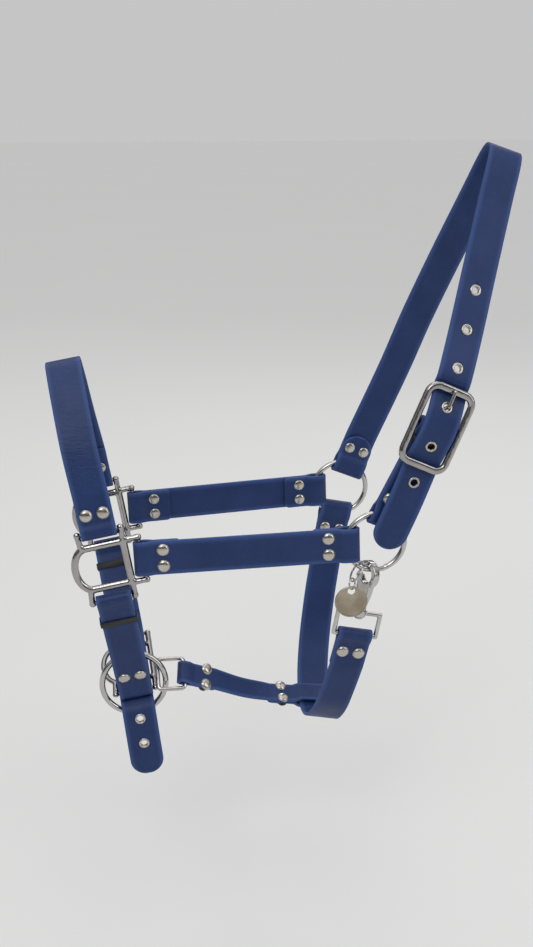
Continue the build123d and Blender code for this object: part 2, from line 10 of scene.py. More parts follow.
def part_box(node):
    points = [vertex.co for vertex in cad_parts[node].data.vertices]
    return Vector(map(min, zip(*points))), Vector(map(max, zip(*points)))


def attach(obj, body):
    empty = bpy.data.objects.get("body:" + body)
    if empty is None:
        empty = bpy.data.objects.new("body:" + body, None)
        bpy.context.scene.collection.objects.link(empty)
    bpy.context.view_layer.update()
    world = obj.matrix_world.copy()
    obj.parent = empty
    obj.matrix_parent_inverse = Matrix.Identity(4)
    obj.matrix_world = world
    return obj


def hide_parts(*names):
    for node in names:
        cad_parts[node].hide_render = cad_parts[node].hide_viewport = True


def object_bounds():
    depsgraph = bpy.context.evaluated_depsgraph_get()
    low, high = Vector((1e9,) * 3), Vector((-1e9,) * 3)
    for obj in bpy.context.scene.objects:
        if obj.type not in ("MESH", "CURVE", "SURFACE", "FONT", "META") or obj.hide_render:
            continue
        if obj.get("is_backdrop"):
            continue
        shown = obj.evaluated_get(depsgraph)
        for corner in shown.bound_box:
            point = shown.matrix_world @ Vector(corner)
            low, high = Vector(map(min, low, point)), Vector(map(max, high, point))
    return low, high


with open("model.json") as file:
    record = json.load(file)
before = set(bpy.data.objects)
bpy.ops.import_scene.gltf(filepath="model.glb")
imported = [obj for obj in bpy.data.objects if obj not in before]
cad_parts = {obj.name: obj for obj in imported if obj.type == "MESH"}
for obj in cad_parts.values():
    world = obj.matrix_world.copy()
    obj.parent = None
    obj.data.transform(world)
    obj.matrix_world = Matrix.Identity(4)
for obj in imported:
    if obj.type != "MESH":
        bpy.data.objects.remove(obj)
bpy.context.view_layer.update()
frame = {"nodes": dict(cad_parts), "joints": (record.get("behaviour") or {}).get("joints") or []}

# A head halter. Lengths are in millimetres until a mesh is made, in the same frame as the CAD.

toMetres = 0.001
up = Vector((0, 0, 1))


def jointPlace(name):
    found = [j for j in frame["joints"] if j["name"] == name][0]
    return Vector(found["pos_m"]) / toMetres


def direction(x, y, z):
    return Vector((x, y, z)).normalized()


def tilted(angle):
    a = radians(angle)
    return Vector((cos(a), 0, sin(a))), Vector((-sin(a), 0, cos(a)))


def seatAt(origin, along, out):
    along = along.normalized()
    out = (out - along * out.dot(along)).normalized()
    return {"origin": origin, "along": along, "out": out, "side": along.cross(out)}


def at(seat, x, y, z=0.0):
    return seat["origin"] + seat["along"] * x + seat["out"] * y + seat["side"] * z


# ---- shader groups, each used by several finishes

def newSockets(tree, inputs, outputs):
    for name, kind, value in inputs:
        made = tree.interface.new_socket(name, in_out="INPUT", socket_type=kind)
        if value is not None:
            made.default_value = value
    for name, kind in outputs:
        tree.interface.new_socket(name, in_out="OUTPUT", socket_type=kind)


def put(tree, kind, **values):
    node = tree.nodes.new(kind)
    for name, value in values.items():
        setattr(node, name, value)
    return node


def wire(tree, *pairs):
    for start, end in pairs:
        tree.links.new(start, end)


def maths(tree, operation, a, b=None, c=None, clamp=False):
    node = put(tree, "ShaderNodeMath", operation=operation, use_clamp=clamp)
    for i, value in enumerate((a, b, c)):
        if value is None:
            continue
        if isinstance(value, (int, float)):
            node.inputs[i].default_value = value
        else:
            tree.links.new(value, node.inputs[i])
    return node.outputs[0]


def spread(tree, value, low, high, toLow=0.0, toHigh=1.0):
    node = put(tree, "ShaderNodeMapRange")
    node.inputs["From Min"].default_value = low
    node.inputs["From Max"].default_value = high
    node.inputs["To Min"].default_value = toLow
    node.inputs["To Max"].default_value = toHigh
    tree.links.new(value, node.inputs["Value"])
    return node.outputs["Result"]


def grainGroup():
    # Fine pebbled grain: small cells over a slow swell; Hollows marks the grooves between the cells, which the strap
    # coat uses for painted shade
    tree = bpy.data.node_groups.new("pebbledGrain", "ShaderNodeTree")
    newSockets(tree, [("Vector", "NodeSocketVector", None), ("Scale", "NodeSocketFloat", 900.0),
                      ("Swell", "NodeSocketFloat", 0.4)],
               [("Height", "NodeSocketFloat"), ("Hollows", "NodeSocketFloat")])
    inside, outside = put(tree, "NodeGroupInput"), put(tree, "NodeGroupOutput")
    cells = put(tree, "ShaderNodeTexVoronoi", feature="DISTANCE_TO_EDGE")
    slow = put(tree, "ShaderNodeTexNoise")
    slow.inputs["Scale"].default_value = 90.0
    slow.inputs["Detail"].default_value = 4.0
    wire(tree, (inside.outputs["Vector"], cells.inputs["Vector"]), (inside.outputs["Scale"], cells.inputs["Scale"]),
         (inside.outputs["Vector"], slow.inputs["Vector"]))
    pebble = spread(tree, cells.outputs["Distance"], 0.0, 0.22)
    swell = maths(tree, "MULTIPLY", slow.outputs["Fac"], inside.outputs["Swell"])
    wire(tree, (maths(tree, "ADD", pebble, swell), outside.inputs["Height"]))
    wire(tree, (maths(tree, "SUBTRACT", 1.0, pebble), outside.inputs["Hollows"]))
    return tree


def wearGroup():
    # Edge wear from how sharp the surface is, broken up by noise
    tree = bpy.data.node_groups.new("edgeWear", "ShaderNodeTree")
    newSockets(tree, [("Vector", "NodeSocketVector", None), ("Sharpness", "NodeSocketFloat", 0.5),
                      ("Amount", "NodeSocketFloat", 0.5)], [("Wear", "NodeSocketFloat")])
    inside, outside = put(tree, "NodeGroupInput"), put(tree, "NodeGroupOutput")
    patches = put(tree, "ShaderNodeTexNoise")
    patches.inputs["Scale"].default_value = 260.0
    patches.inputs["Detail"].default_value = 5.0
    wire(tree, (inside.outputs["Vector"], patches.inputs["Vector"]))
    edge = spread(tree, inside.outputs["Sharpness"], 0.51, 0.58)
    broken = spread(tree, patches.outputs["Fac"], 0.42, 0.62)
    both = maths(tree, "MULTIPLY", edge, broken)
    wire(tree, (maths(tree, "MULTIPLY", both, inside.outputs["Amount"], clamp=True), outside.inputs["Wear"]))
    return tree


def scratchGroup():
    # Hairline scratches two ways, and slow smudges
    tree = bpy.data.node_groups.new("handling", "ShaderNodeTree")
    newSockets(tree, [("Vector", "NodeSocketVector", None), ("Scale", "NodeSocketFloat", 1.0)],
               [("Lines", "NodeSocketFloat"), ("Smudge", "NodeSocketFloat")])
    inside, outside = put(tree, "NodeGroupInput"), put(tree, "NodeGroupOutput")
    sized = put(tree, "ShaderNodeVectorMath", operation="SCALE")
    wire(tree, (inside.outputs["Vector"], sized.inputs[0]), (inside.outputs["Scale"], sized.inputs["Scale"]))
    lines = []
    for stretch in ((2600.0, 160.0, 400.0), (300.0, 420.0, 2800.0)):
        turned = put(tree, "ShaderNodeMapping")
        turned.inputs["Scale"].default_value = stretch
        turned.inputs["Rotation"].default_value = (0.3, 0.5, 0.9)
        streak = put(tree, "ShaderNodeTexNoise")
        streak.inputs["Scale"].default_value = 1.0
        streak.inputs["Detail"].default_value = 2.0
        wire(tree, (sized.outputs[0], turned.inputs["Vector"]), (turned.outputs[0], streak.inputs["Vector"]))
        lines.append(spread(tree, streak.outputs["Fac"], 0.62, 0.72))
    smudge = put(tree, "ShaderNodeTexNoise")
    smudge.inputs["Scale"].default_value = 70.0
    smudge.inputs["Detail"].default_value = 6.0
    wire(tree, (sized.outputs[0], smudge.inputs["Vector"]))
    wire(tree, (maths(tree, "MAXIMUM", lines[0], lines[1]), outside.inputs["Lines"]))
    wire(tree, (spread(tree, smudge.outputs["Fac"], 0.35, 0.7), outside.inputs["Smudge"]))
    return tree


grain, wear, handling = grainGroup(), wearGroup(), scratchGroup()


def blankFinish(name):
    finish = bpy.data.materials.new(name)
    finish.use_nodes = True
    tree = finish.node_tree
    tree.nodes.clear()
    shader = put(tree, "ShaderNodeBsdfPrincipled")
    result = put(tree, "ShaderNodeOutputMaterial")
    wire(tree, (shader.outputs[0], result.inputs[0]))
    place = put(tree, "ShaderNodeTexCoord")
    return finish, tree, shader, place.outputs["Object"]


def useGroup(tree, group, place, **values):
    node = put(tree, "ShaderNodeGroup", node_tree=group)
    tree.links.new(place, node.inputs["Vector"])
    for name, value in values.items():
        node.inputs[name].default_value = value
    return node


def mixed(tree, mask, first, second):
    node = put(tree, "ShaderNodeMix", data_type="RGBA")
    for socket, value in ((node.inputs[0], mask), (node.inputs[6], first), (node.inputs[7], second)):
        if isinstance(value, (tuple, list)):
            socket.default_value = (*value, 1.0)
        elif isinstance(value, float):
            socket.default_value = value
        else:
            tree.links.new(value, socket)
    return node.outputs[2]


def bumped(tree, shader, layers):
    # layers are (height, strength, depth in metres), finest last
    normal = None
    for height, strength, depth in layers:
        node = put(tree, "ShaderNodeBump")
        node.inputs["Strength"].default_value = strength
        node.inputs["Distance"].default_value = depth
        tree.links.new(height, node.inputs["Height"])
        if normal is not None:
            tree.links.new(normal, node.inputs["Normal"])
        normal = node.outputs["Normal"]
    tree.links.new(normal, shader.inputs["Normal"])


coatLook = {"blue": (0.016, 0.041, 0.145), "deep": (0.009, 0.027, 0.104), "cut": (0.045, 0.092, 0.27),
            "grainScale": 1500.0, "grainDepth": 0.00006, "creaseDepth": 0.0007}


def strapCoat():
    finish, tree, shader, place = blankFinish("blueCoatedStrap")
    pebbles = useGroup(tree, grain, place, Scale=coatLook["grainScale"], Swell=0.5)
    marks = useGroup(tree, handling, place, Scale=0.6)
    cut = put(tree, "ShaderNodeAttribute", attribute_name="cutEdge")
    crease = put(tree, "ShaderNodeAttribute", attribute_name="crease")
    tone = put(tree, "ShaderNodeTexNoise")
    tone.inputs["Scale"].default_value = 34.0
    tone.inputs["Detail"].default_value = 5.0
    tree.links.new(place, tone.inputs["Vector"])
    body = mixed(tree, spread(tree, tone.outputs["Fac"], 0.3, 0.75), coatLook["deep"], coatLook["blue"])
    worn = mixed(tree, maths(tree, "MULTIPLY", marks.outputs["Lines"], 0.16), body, (0.07, 0.11, 0.24))
    # painted shade: the hollows between the grain's cells are painted darker, towards the deep blue
    hollowShade = mixed(tree, maths(tree, "MULTIPLY", pebbles.outputs["Hollows"], 0.25), worn, coatLook["deep"])
    full = mixed(tree, maths(tree, "MULTIPLY", cut.outputs["Fac"], 0.7), hollowShade, coatLook["cut"])
    tree.links.new(full, shader.inputs["Base Color"])
    rough = spread(tree, marks.outputs["Smudge"], 0.0, 1.0, 0.36, 0.5)
    tree.links.new(maths(tree, "ADD", rough, maths(tree, "MULTIPLY", cut.outputs["Fac"], 0.15)),
                   shader.inputs["Roughness"])
    folds = put(tree, "ShaderNodeTexNoise")
    stretched = put(tree, "ShaderNodeMapping")
    stretched.inputs["Scale"].default_value = (110.0, 60.0, 420.0)
    folds.inputs["Scale"].default_value = 1.0
    folds.inputs["Detail"].default_value = 6.0
    folds.inputs["Distortion"].default_value = 1.2
    tree.links.new(place, stretched.inputs["Vector"])
    tree.links.new(stretched.outputs[0], folds.inputs["Vector"])
    ridges = maths(tree, "MULTIPLY", folds.outputs["Fac"], crease.outputs["Fac"])
    bumped(tree, shader, [(ridges, 0.9, coatLook["creaseDepth"]),
                          (pebbles.outputs["Height"], 0.5, coatLook["grainDepth"])])
    shader.inputs["Specular IOR Level"].default_value = 0.3
    return finish


def polishedMetal(name, bright, dull, rough, waviness, wearAmount=0.6):
    finish, tree, shader, place = blankFinish(name)
    marks = useGroup(tree, handling, place, Scale=1.0)
    sharp = put(tree, "ShaderNodeNewGeometry")
    worn = useGroup(tree, wear, place, Amount=wearAmount)
    tree.links.new(sharp.outputs["Pointiness"], worn.inputs["Sharpness"])
    base = mixed(tree, maths(tree, "MULTIPLY", marks.outputs["Smudge"], 0.5), bright, dull)
    tree.links.new(mixed(tree, worn.outputs["Wear"], base, dull), shader.inputs["Base Color"])
    lines = maths(tree, "MULTIPLY", marks.outputs["Lines"], 0.12)
    soft = spread(tree, marks.outputs["Smudge"], 0.0, 1.0, rough, rough + 0.1)
    edges = maths(tree, "MULTIPLY", worn.outputs["Wear"], 0.15)
    tree.links.new(maths(tree, "ADD", maths(tree, "ADD", soft, lines), edges), shader.inputs["Roughness"])
    swell = put(tree, "ShaderNodeTexNoise")
    swell.inputs["Scale"].default_value = 190.0
    swell.inputs["Detail"].default_value = 3.0
    tree.links.new(place, swell.inputs["Vector"])
    bumped(tree, shader, [(swell.outputs["Fac"], 0.5, waviness), (marks.outputs["Lines"], 0.3, 0.000015)])
    shader.inputs["Metallic"].default_value = 1.0
    return finish


def blackRubber():
    finish, tree, shader, place = blankFinish("blackKeeperRubber")
    pebbles = useGroup(tree, grain, place, Scale=2600.0, Swell=0.8)
    marks = useGroup(tree, handling, place, Scale=1.4)
    pale = maths(tree, "MULTIPLY", marks.outputs["Smudge"], 0.4)
    tree.links.new(mixed(tree, pale, (0.010, 0.010, 0.011), (0.028, 0.028, 0.030)), shader.inputs["Base Color"])
    tree.links.new(spread(tree, marks.outputs["Smudge"], 0.0, 1.0, 0.42, 0.6), shader.inputs["Roughness"])
    bumped(tree, shader, [(pebbles.outputs["Height"], 0.4, 0.00005)])
    return finish


def agedTag():
    finish, tree, shader, place = blankFinish("agedTagMetal")
    marks = useGroup(tree, handling, place, Scale=1.3)
    sharp = put(tree, "ShaderNodeNewGeometry")
    worn = useGroup(tree, wear, place, Amount=0.9)
    tree.links.new(sharp.outputs["Pointiness"], worn.inputs["Sharpness"])
    tarnish = mixed(tree, marks.outputs["Smudge"], (0.42, 0.37, 0.29), (0.29, 0.245, 0.18))
    tree.links.new(mixed(tree, worn.outputs["Wear"], tarnish, (0.75, 0.7, 0.6)), shader.inputs["Base Color"])
    brushed = put(tree, "ShaderNodeTexNoise")
    stretched = put(tree, "ShaderNodeMapping")
    stretched.inputs["Scale"].default_value = (120.0, 900.0, 5200.0)
    brushed.inputs["Scale"].default_value = 1.0
    tree.links.new(place, stretched.inputs["Vector"])
    tree.links.new(stretched.outputs[0], brushed.inputs["Vector"])
    tree.links.new(spread(tree, brushed.outputs["Fac"], 0.3, 0.7, 0.3, 0.46), shader.inputs["Roughness"])
    bumped(tree, shader, [(brushed.outputs["Fac"], 0.35, 0.00004), (marks.outputs["Lines"], 0.4, 0.00003)])
    shader.inputs["Metallic"].default_value = 1.0
    return finish


finishes = {
    "strap": strapCoat(),
    "casting": polishedMetal("polishedCasting", (0.42, 0.405, 0.395), (0.29, 0.275, 0.27), 0.08, 0.0004),
    "ring": polishedMetal("polishedWire", (0.55, 0.54, 0.53), (0.38, 0.37, 0.36), 0.07, 0.0001),
    "snap": polishedMetal("polishedSnap", (0.56, 0.55, 0.54), (0.38, 0.37, 0.36), 0.10, 0.0004),
    "rivet": polishedMetal("nickelRivet", (0.56, 0.53, 0.48), (0.38, 0.35, 0.31), 0.16, 0.0001),
    "eyelet": polishedMetal("nickelEyelet", (0.58, 0.54, 0.47), (0.40, 0.36, 0.30), 0.2, 0.0001),
    "keeper": blackRubber(),
    "tag": agedTag(),
}
print("finishes ready:", ", ".join(finishes))


# ---- making and placing pieces

def newPiece(name, mesh, body, slot, *nodes):
    piece = bpy.data.objects.new(name, mesh)
    bpy.context.scene.collection.objects.link(piece)
    return settle(piece, body, slot, *nodes)


def settle(piece, body, slot, *nodes):
    piece.data.materials.clear()
    piece.data.materials.append(finishes[slot])
    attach(piece, body)
    if nodes:
        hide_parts(*nodes)
    return piece


def meshFrom(working, name, smoothly=True):
    bmesh.ops.remove_doubles(working, verts=working.verts, dist=1e-7)
    bmesh.ops.recalc_face_normals(working, faces=working.faces)
    for face in working.faces:
        face.smooth = smoothly
    mesh = bpy.data.meshes.new(name)
    working.to_mesh(mesh)
    working.free()
    return mesh


def withModifiers(mesh, *steps):
    # Each step is (modifier type, settings). The result is a plain mesh
    holder = bpy.data.objects.new("working", mesh)
    bpy.context.scene.collection.objects.link(holder)
    for kind, values in steps:
        modifier = holder.modifiers.new(kind.lower(), kind)
        for key, value in values.items():
            setattr(modifier, key, value)
    graph = bpy.context.evaluated_depsgraph_get()
    result = bpy.data.meshes.new_from_object(holder.evaluated_get(graph), depsgraph=graph)
    bpy.data.objects.remove(holder)
    return result


def cadCopy(node, name):
    # A merged copy of a CAD node's triangles
    working = bmesh.new()
    working.from_mesh(frame["nodes"][node].data)
    bmesh.ops.remove_doubles(working, verts=working.verts, dist=2e-6)
    bmesh.ops.recalc_face_normals(working, faces=working.faces)
    mesh = bpy.data.meshes.new(name)
    working.to_mesh(mesh)
    working.free()
    return mesh


# ---- straps: a rounded band carried along one line, from one folded end to the other

band = {"width": 25.0, "linkWidth": 16.4, "thickness": 2.45, "edge": 0.7, "gap": 0.3, "layerGap": 0.05,
        "taper": 7.1, "step": 2.0}
rivetSpread = 6.0


def smoothLine(points, count):
    ends = [points[0] * 2 - points[1], *points, points[-1] * 2 - points[-2]]
    line = []
    for i in range(len(points) - 1):
        a, b, c, d = ends[i:i + 4]
        for k in range(count):
            t = k / count
            line.append((b * 2 + (c - a) * t + (a * 2 - b * 5 + c * 4 - d) * t**2
                         + (b * 3 - a - c * 3 + d) * t**3) * 0.5)
    return line + [points[-1]]


def foldLine(seat, wireSize, slack, length, backLength=None):
    # Middle of the band from its free back end, round the wire and out along the front
    half = band["thickness"] / 2 + band["layerGap"]
    bow = wireSize / 2 + band["gap"] + band["thickness"] / 2
    reach = slack + band["taper"]
    ramp = []
    for i in range(9):
        u = 1 - i / 8
        ramp.append((slack + band["taper"] * u, half + (bow - half) * (0.5 + 0.5 * cos(pi * u))))
    if slack > 2.0:
        ramp.append((slack / 2, bow))
    sheets = []
    for far in (backLength or length, length):
        steps = max(2, int((far - reach) / band["step"]))
        sheets.append([(far + (reach - far) * i / steps, half) for i in range(steps)] + ramp)
    bend = [(bow * cos(radians(a)), bow * sin(radians(a))) for a in range(270, 89, -15)]
    if slack < 0.1:
        bend = bend[1:-1]
    outline = [(x, -y) for x, y in sheets[0]] + bend + list(reversed(sheets[1]))
    return [(at(seat, x, y), seat["side"]) for x, y in outline]


def sectionOutline(width, thickness, edge):
    # Round-edged rectangle as (across, out, cut edge) points
    a, b, r = width / 2, thickness / 2, edge
    points = []
    for cx, cy, start in ((a - r, b - r, 0), (-a + r, b - r, 90), (-a + r, -b + r, 180), (a - r, -b + r, 270)):
        for k in range(5):
            turn = radians(start + 22.5 * k)
            points.append((cx + r * cos(turn), cy + r * sin(turn), 1.0))
        if start in (0, 180):
            sign = 1 if start == 0 else -1
            for k in range(1, 8):
                points.append((sign * (a - r) * (1 - k / 4), sign * b, 0.0))
    return points


def tipStations(line, radius, first):
    # Extra places past an end whose corners are rounded: how far on, and how much narrower
    place, side = line[0] if first else line[-1]
    inner = line[1][0] if first else line[-2][0]
    ahead = (place - inner).normalized()
    extra = []
    for k in range(1, 10):
        turn = radians(90 * k / 9)
        extra.append((place + ahead * (radius * sin(turn)), side, 2 * radius * (1 - cos(turn))))
    return extra


def bandMesh(name, line, width, startTip, endTip, creaseAt=(), thickness=None):
    # line is (place, side) pairs; creaseAt is (place, reach, amount) for bends that wrinkle the coat
    thickness = thickness or band["thickness"]
    head = [(p, s, n) for p, s, n in reversed(tipStations(line, startTip, True))]
    tail = tipStations(line, endTip, False)
    places = head + [(p, s, 0.0) for p, s in line] + tail
    working = bmesh.new()
    cutLayer = working.verts.layers.float.new("cutEdge")
    creaseLayer = working.verts.layers.float.new("crease")
    rows, lastSide = [], None
    count = len(places)
    for i, (place, side, narrower) in enumerate(places):
        ahead = (places[min(i + 1, count - 1)][0] - places[max(i - 1, 0)][0]).normalized()
        side = (side - ahead * side.dot(ahead)).normalized()
        if lastSide is not None and side.dot(lastSide) < 0:
            side = -side
        lastSide = side
        out = ahead.cross(side)
        wide = max(width - narrower, 1.6)
        last = i in (0, count - 1)
        outline = sectionOutline(wide, thickness * (0.62 if last else 1.0), min(band["edge"], thickness * 0.3))
        amount = 0.0
        for where, reach, strength in creaseAt:
            amount = max(amount, strength * exp(-((place - where).length / reach) ** 2))
        row = []
        for x, y, cut in outline:
            vert = working.verts.new((place + side * x + out * y) * toMetres)
            vert[cutLayer] = 1.0 if narrower > 0.5 * width or last else cut
            vert[creaseLayer] = amount
            row.append(vert)
        rows.append(row)
    size = len(rows[0])
    for a, b in zip(rows, rows[1:]):
        for k in range(size):
            working.faces.new((a[k], a[(k + 1) % size], b[(k + 1) % size], b[k]))
    working.faces.new(rows[0])
    working.faces.new(list(reversed(rows[-1])))
    return meshFrom(working, name)


def cutThrough(mesh, tools):
    # Takes holes out of a band: tools are closed meshes
    joined = bmesh.new()
    for tool in tools:
        joined.from_mesh(tool)
    cutter = bpy.data.meshes.new("cutter")
    joined.to_mesh(cutter)
    joined.free()
    cutterPiece = bpy.data.objects.new("cutter", cutter)
    bpy.context.scene.collection.objects.link(cutterPiece)
    result = withModifiers(mesh, ("BOOLEAN", {"operation": "DIFFERENCE", "object": cutterPiece, "solver": "EXACT"}))
    bpy.data.objects.remove(cutterPiece)
    return result


def plug(seat, radius, length, sides=28):
    # A closed cylinder along a seat's out direction
    working = bmesh.new()
    turn = Matrix((seat["along"], seat["side"], seat["out"])).transposed().to_4x4()
    bmesh.ops.create_cone(working, cap_ends=True, segments=sides, radius1=radius * toMetres,
                          radius2=radius * toMetres, depth=length * toMetres,
                          matrix=Matrix.Translation(seat["origin"] * toMetres) @ turn)
    return meshFrom(working, "plug")


def block(seat, size, where=(0, 0, 0)):
    working = bmesh.new()
    turn = Matrix((seat["along"], seat["out"], seat["side"])).transposed().to_4x4()
    shape = Matrix.Diagonal((*[v * toMetres for v in size], 1.0))
    place = Matrix.Translation(at(seat, *where) * toMetres)
    bmesh.ops.create_cube(working, size=1.0, matrix=place @ turn @ shape)
    return meshFrom(working, "block")


def frontEnd(seat, length):
    return at(seat, length, band["thickness"] / 2 + band["layerGap"])


def ringSeat(radius, width):
    return sqrt(radius**2 - (width / 2) ** 2) - 0.5


def pinSeat(place, along, slack):
    return place - along.normalized() * (slack / 2)


def strapLine(first, points, sides, last=None, count=10):
    # A whole strap: first and last are (seat, wire, slack, length), points lie between the folds
    line = foldLine(*first)
    run = [line[-1][0], *points]
    across = [line[-1][1], *sides]
    tail = []
    if last is not None:
        tail = list(reversed(foldLine(*last)))
        run.append(tail[0][0])
        across.append(tail[0][1])
    for i in range(1, len(across)):
        if across[i].dot(across[i - 1]) < 0:
            across[i] = -across[i]
    if tail and across[-1].dot(tail[0][1]) < 0:
        tail = [(p, -s) for p, s in tail]
    middle = list(zip(smoothLine(run, count), smoothLine(across, count)))
    return line + middle[1:-1] + (tail if tail else [middle[-1]])


# ---- places of the castings and rings

ringShape = {"radius": 21.0, "wire": 4.0, "leadRadius": 23.8, "leadWire": 4.5, "foldWire": 4.6}
ringCentre = {-1: jointPlace("near_cheek_ring_spin"), 1: jointPlace("far_cheek_ring_spin")}
leadCentre = jointPlace("lead_ring_spin")
squareShape = {"place": (-290.0, 57.5, -277.0), "tilt": 10.0, "pin": 3.0, "slotMiddle": -1.25, "pinOut": 26.0,
               "sidePinOut": 24.5, "top": 15.5, "bar": 4.0}
chinShape = {"centre": (-273.0, 1.5, -380.0), "pitch": 29.0, "roll": 8.0}


def squareSeat(side):
    along, rise = tilted(squareShape["tilt"])
    x, y, z = squareShape["place"]
    return {"origin": Vector((x, side * y, z)), "along": along, "out": rise, "side": along.cross(rise)}


def chinSeat():
    along, _ = tilted(chinShape["roll"])
    p = radians(chinShape["pitch"])
    rise = Vector((0, cos(p), sin(p)))
    rise = (rise - along * rise.dot(along)).normalized()
    return {"origin": Vector(chinShape["centre"]), "along": along, "out": rise, "side": along.cross(rise)}


rivetRows = []  # (cad node, seat, how far along)


def addRivets(node, seat, s):
    rivetRows.append((node, [at(seat, s, 0, w) for w in (-rivetSpread, rivetSpread)], seat["out"]))


def cheekStrap(side):
    name = "near" if side < 0 else "far"
    out = Vector((0, side, 0))
    front = at(squareSeat(side), squareShape["sidePinOut"], 0)
    rear = ringCentre[side] + Vector((-ringSeat(ringShape["radius"], band["width"]), 0, -1.0))
    along = (rear - front).normalized()
    noseEnd = seatAt(pinSeat(front, along, 3.8), along, out)
    pollEnd = seatAt(rear, -along, out)
    line = strapLine((noseEnd, squareShape["pin"], 3.8, 26.0), [], [], (pollEnd, ringShape["foldWire"], 5.6, 26.0), 40)
    addRivets(name + "_cheek_front_rivets", noseEnd, 16.5)
    addRivets(name + "_cheek_rear_rivets", pollEnd, 17.5)
    node = name + "_cheek_strap"
    return newPiece(name + "CheekBand", bandMesh(node, line, band["width"], 3.0, 3.0), "straps", "strap", node)


def noseStrap():
    _, rise = tilted(squareShape["tilt"])
    across = Vector((rise.z, 0, -rise.x))
    ends = []
    for side in (-1, 1):
        seat = at(squareSeat(side), squareShape["slotMiddle"], squareShape["pinOut"])
        along = (rise + Vector((0, -side * 0.1, 0))).normalized()
        end = seatAt(pinSeat(seat, along, 1.0), along, Vector((0, side, 0)))
        ends.append(end)
        addRivets(("near" if side < 0 else "far") + "_nose_rivets", end, 13.5)
    top = Vector((-316.0, 0.0, -143.0))
    points = []
    for y, down in ((-46.0, 52.0), (-27.0, 20.0), (-11.0, 3.5), (0.0, 0.0), (11.0, 3.5), (27.0, 20.0), (46.0, 52.0)):
        points.append(top + Vector((0, y, 0)) - rise * down)
    line = strapLine((ends[0], 3.0, 1.0, 26.0), points, [across] * len(points), (ends[1], 3.0, 1.0, 26.0), 12)
    creases = [(top, 55.0, 1.0), (points[0], 34.0, 0.55)]
    mesh = bandMesh("nose_strap", line, band["width"], 3.0, 3.0, creases)
    return newPiece("noseBand", mesh, "straps", "strap", "nose_strap")


buckleShape = {"angle": 66.0, "distance": 93.5, "sink": 10.0, "centreBar": 3.5, "tongue": 3.6}
buckleAlong = tilted(buckleShape["angle"])[0]
buckleCentre = ringCentre[-1] + buckleAlong * buckleShape["distance"] + Vector((0, -buckleShape["sink"], 0))
buckleSeat = seatAt(buckleCentre, buckleAlong, Vector((0, -1, 0)))
eyeletShape = {"hole": 2.5, "barrel": 3.1, "flange": 4.1, "pitch": 29.0, "tailPitch": 20.0}
eyeletRows = []  # (cad node, places, out directions)


def eyeletPlaces(line, start, pitch, before, after):
    # Even places along a strap's line, counted from the one nearest to start
    steps = [0.0]
    for a, b in zip(line, line[1:]):
        steps.append(steps[-1] + (b[0] - a[0]).length)
    begin = min(range(len(line)), key=lambda n: (line[n][0] - start).length)
    seats = []
    for k in range(-before, after + 1):
        want = steps[begin] + pitch * k
        i = min(range(1, len(line) - 1), key=lambda n: abs(steps[n] - want))
        ahead = (line[i + 1][0] - line[i - 1][0]).normalized()
        place = line[i][0] + ahead * (want - steps[i])
        side = (line[i][1] - ahead * line[i][1].dot(ahead)).normalized()
        seats.append({"origin": place, "along": ahead, "side": side, "out": side.cross(ahead)})
    return seats


def crownStrap():
    farAlong, _ = tilted(68.0)
    farSeat = ringCentre[1] + farAlong * ringSeat(ringShape["radius"], band["width"])
    farEnd = seatAt(farSeat, farAlong + Vector((0, -0.02, 0)), Vector((0, 1, 0)))
    top = Vector((0, 0, 1.25))
    farDown, nearDown = tilted(70.5)[0], tilted(72.0)[0]
    points, turns = [], []
    for y, down in ((62.0, 180.0), (54.0, 135.0), (39.0, 85.0), (21.0, 36.0), (10.0, 6.5)):
        points.append(top + Vector((0, y, 0)) - farDown * down)
        turns.append(70.5)
    points.append(top)
    turns.append(71.0)
    for y, down in ((-10.0, 6.5), (-21.0, 36.0), (-40.0, 85.0), (-56.0, 125.0)):
        points.append(top + Vector((0, y, 0)) - nearDown * down)
        turns.append(72.0)
    for x, y, z, angle in (
        (38.0, -4.6, -1.9, 69.0), (29.0, -3.9, -1.1, 68.0), (23.0, -1.0, -0.8, 68.0), (15.5, 3.4, -0.5, 67.5),
        (7.5, 6.0, 0.0, 67.0), (-4.0, 6.3, 0.8, 66.0), (-16.0, 3.6, 1.2, 65.5), (-26.0, 1.0, 1.6, 65.0),
        (-38.0, 0.8, 2.3, 64.5), (-60.0, 0.4, 3.4, 64.5), (-81.0, -0.6, 4.0, 64.5),
    ):
        points.append(at(buckleSeat, x, y, z))
        turns.append(angle)
    across = [Vector((sin(radians(a)), 0, -cos(radians(a)))) for a in turns]
    line = strapLine((farEnd, ringShape["foldWire"], 5.6, 28.0, 16.4), points, across, None, 8)
    mesh = bandMesh("crown_strap", line, band["width"], 12.2, 12.5, [(top, 26.0, 0.8)])
    seats = eyeletPlaces(line, at(buckleSeat, 15.5, 3.4, -0.5), eyeletShape["pitch"], 3, 2)
    mesh = cutThrough(mesh, [plug(seat, eyeletShape["barrel"], 9.0) for seat in seats])
    eyeletRows.append(("crown_eyelets", seats))
    addRivets("crown_far_rivets", farEnd, 17.5)
    return newPiece("crownBand", mesh, "straps", "strap", "crown_strap")


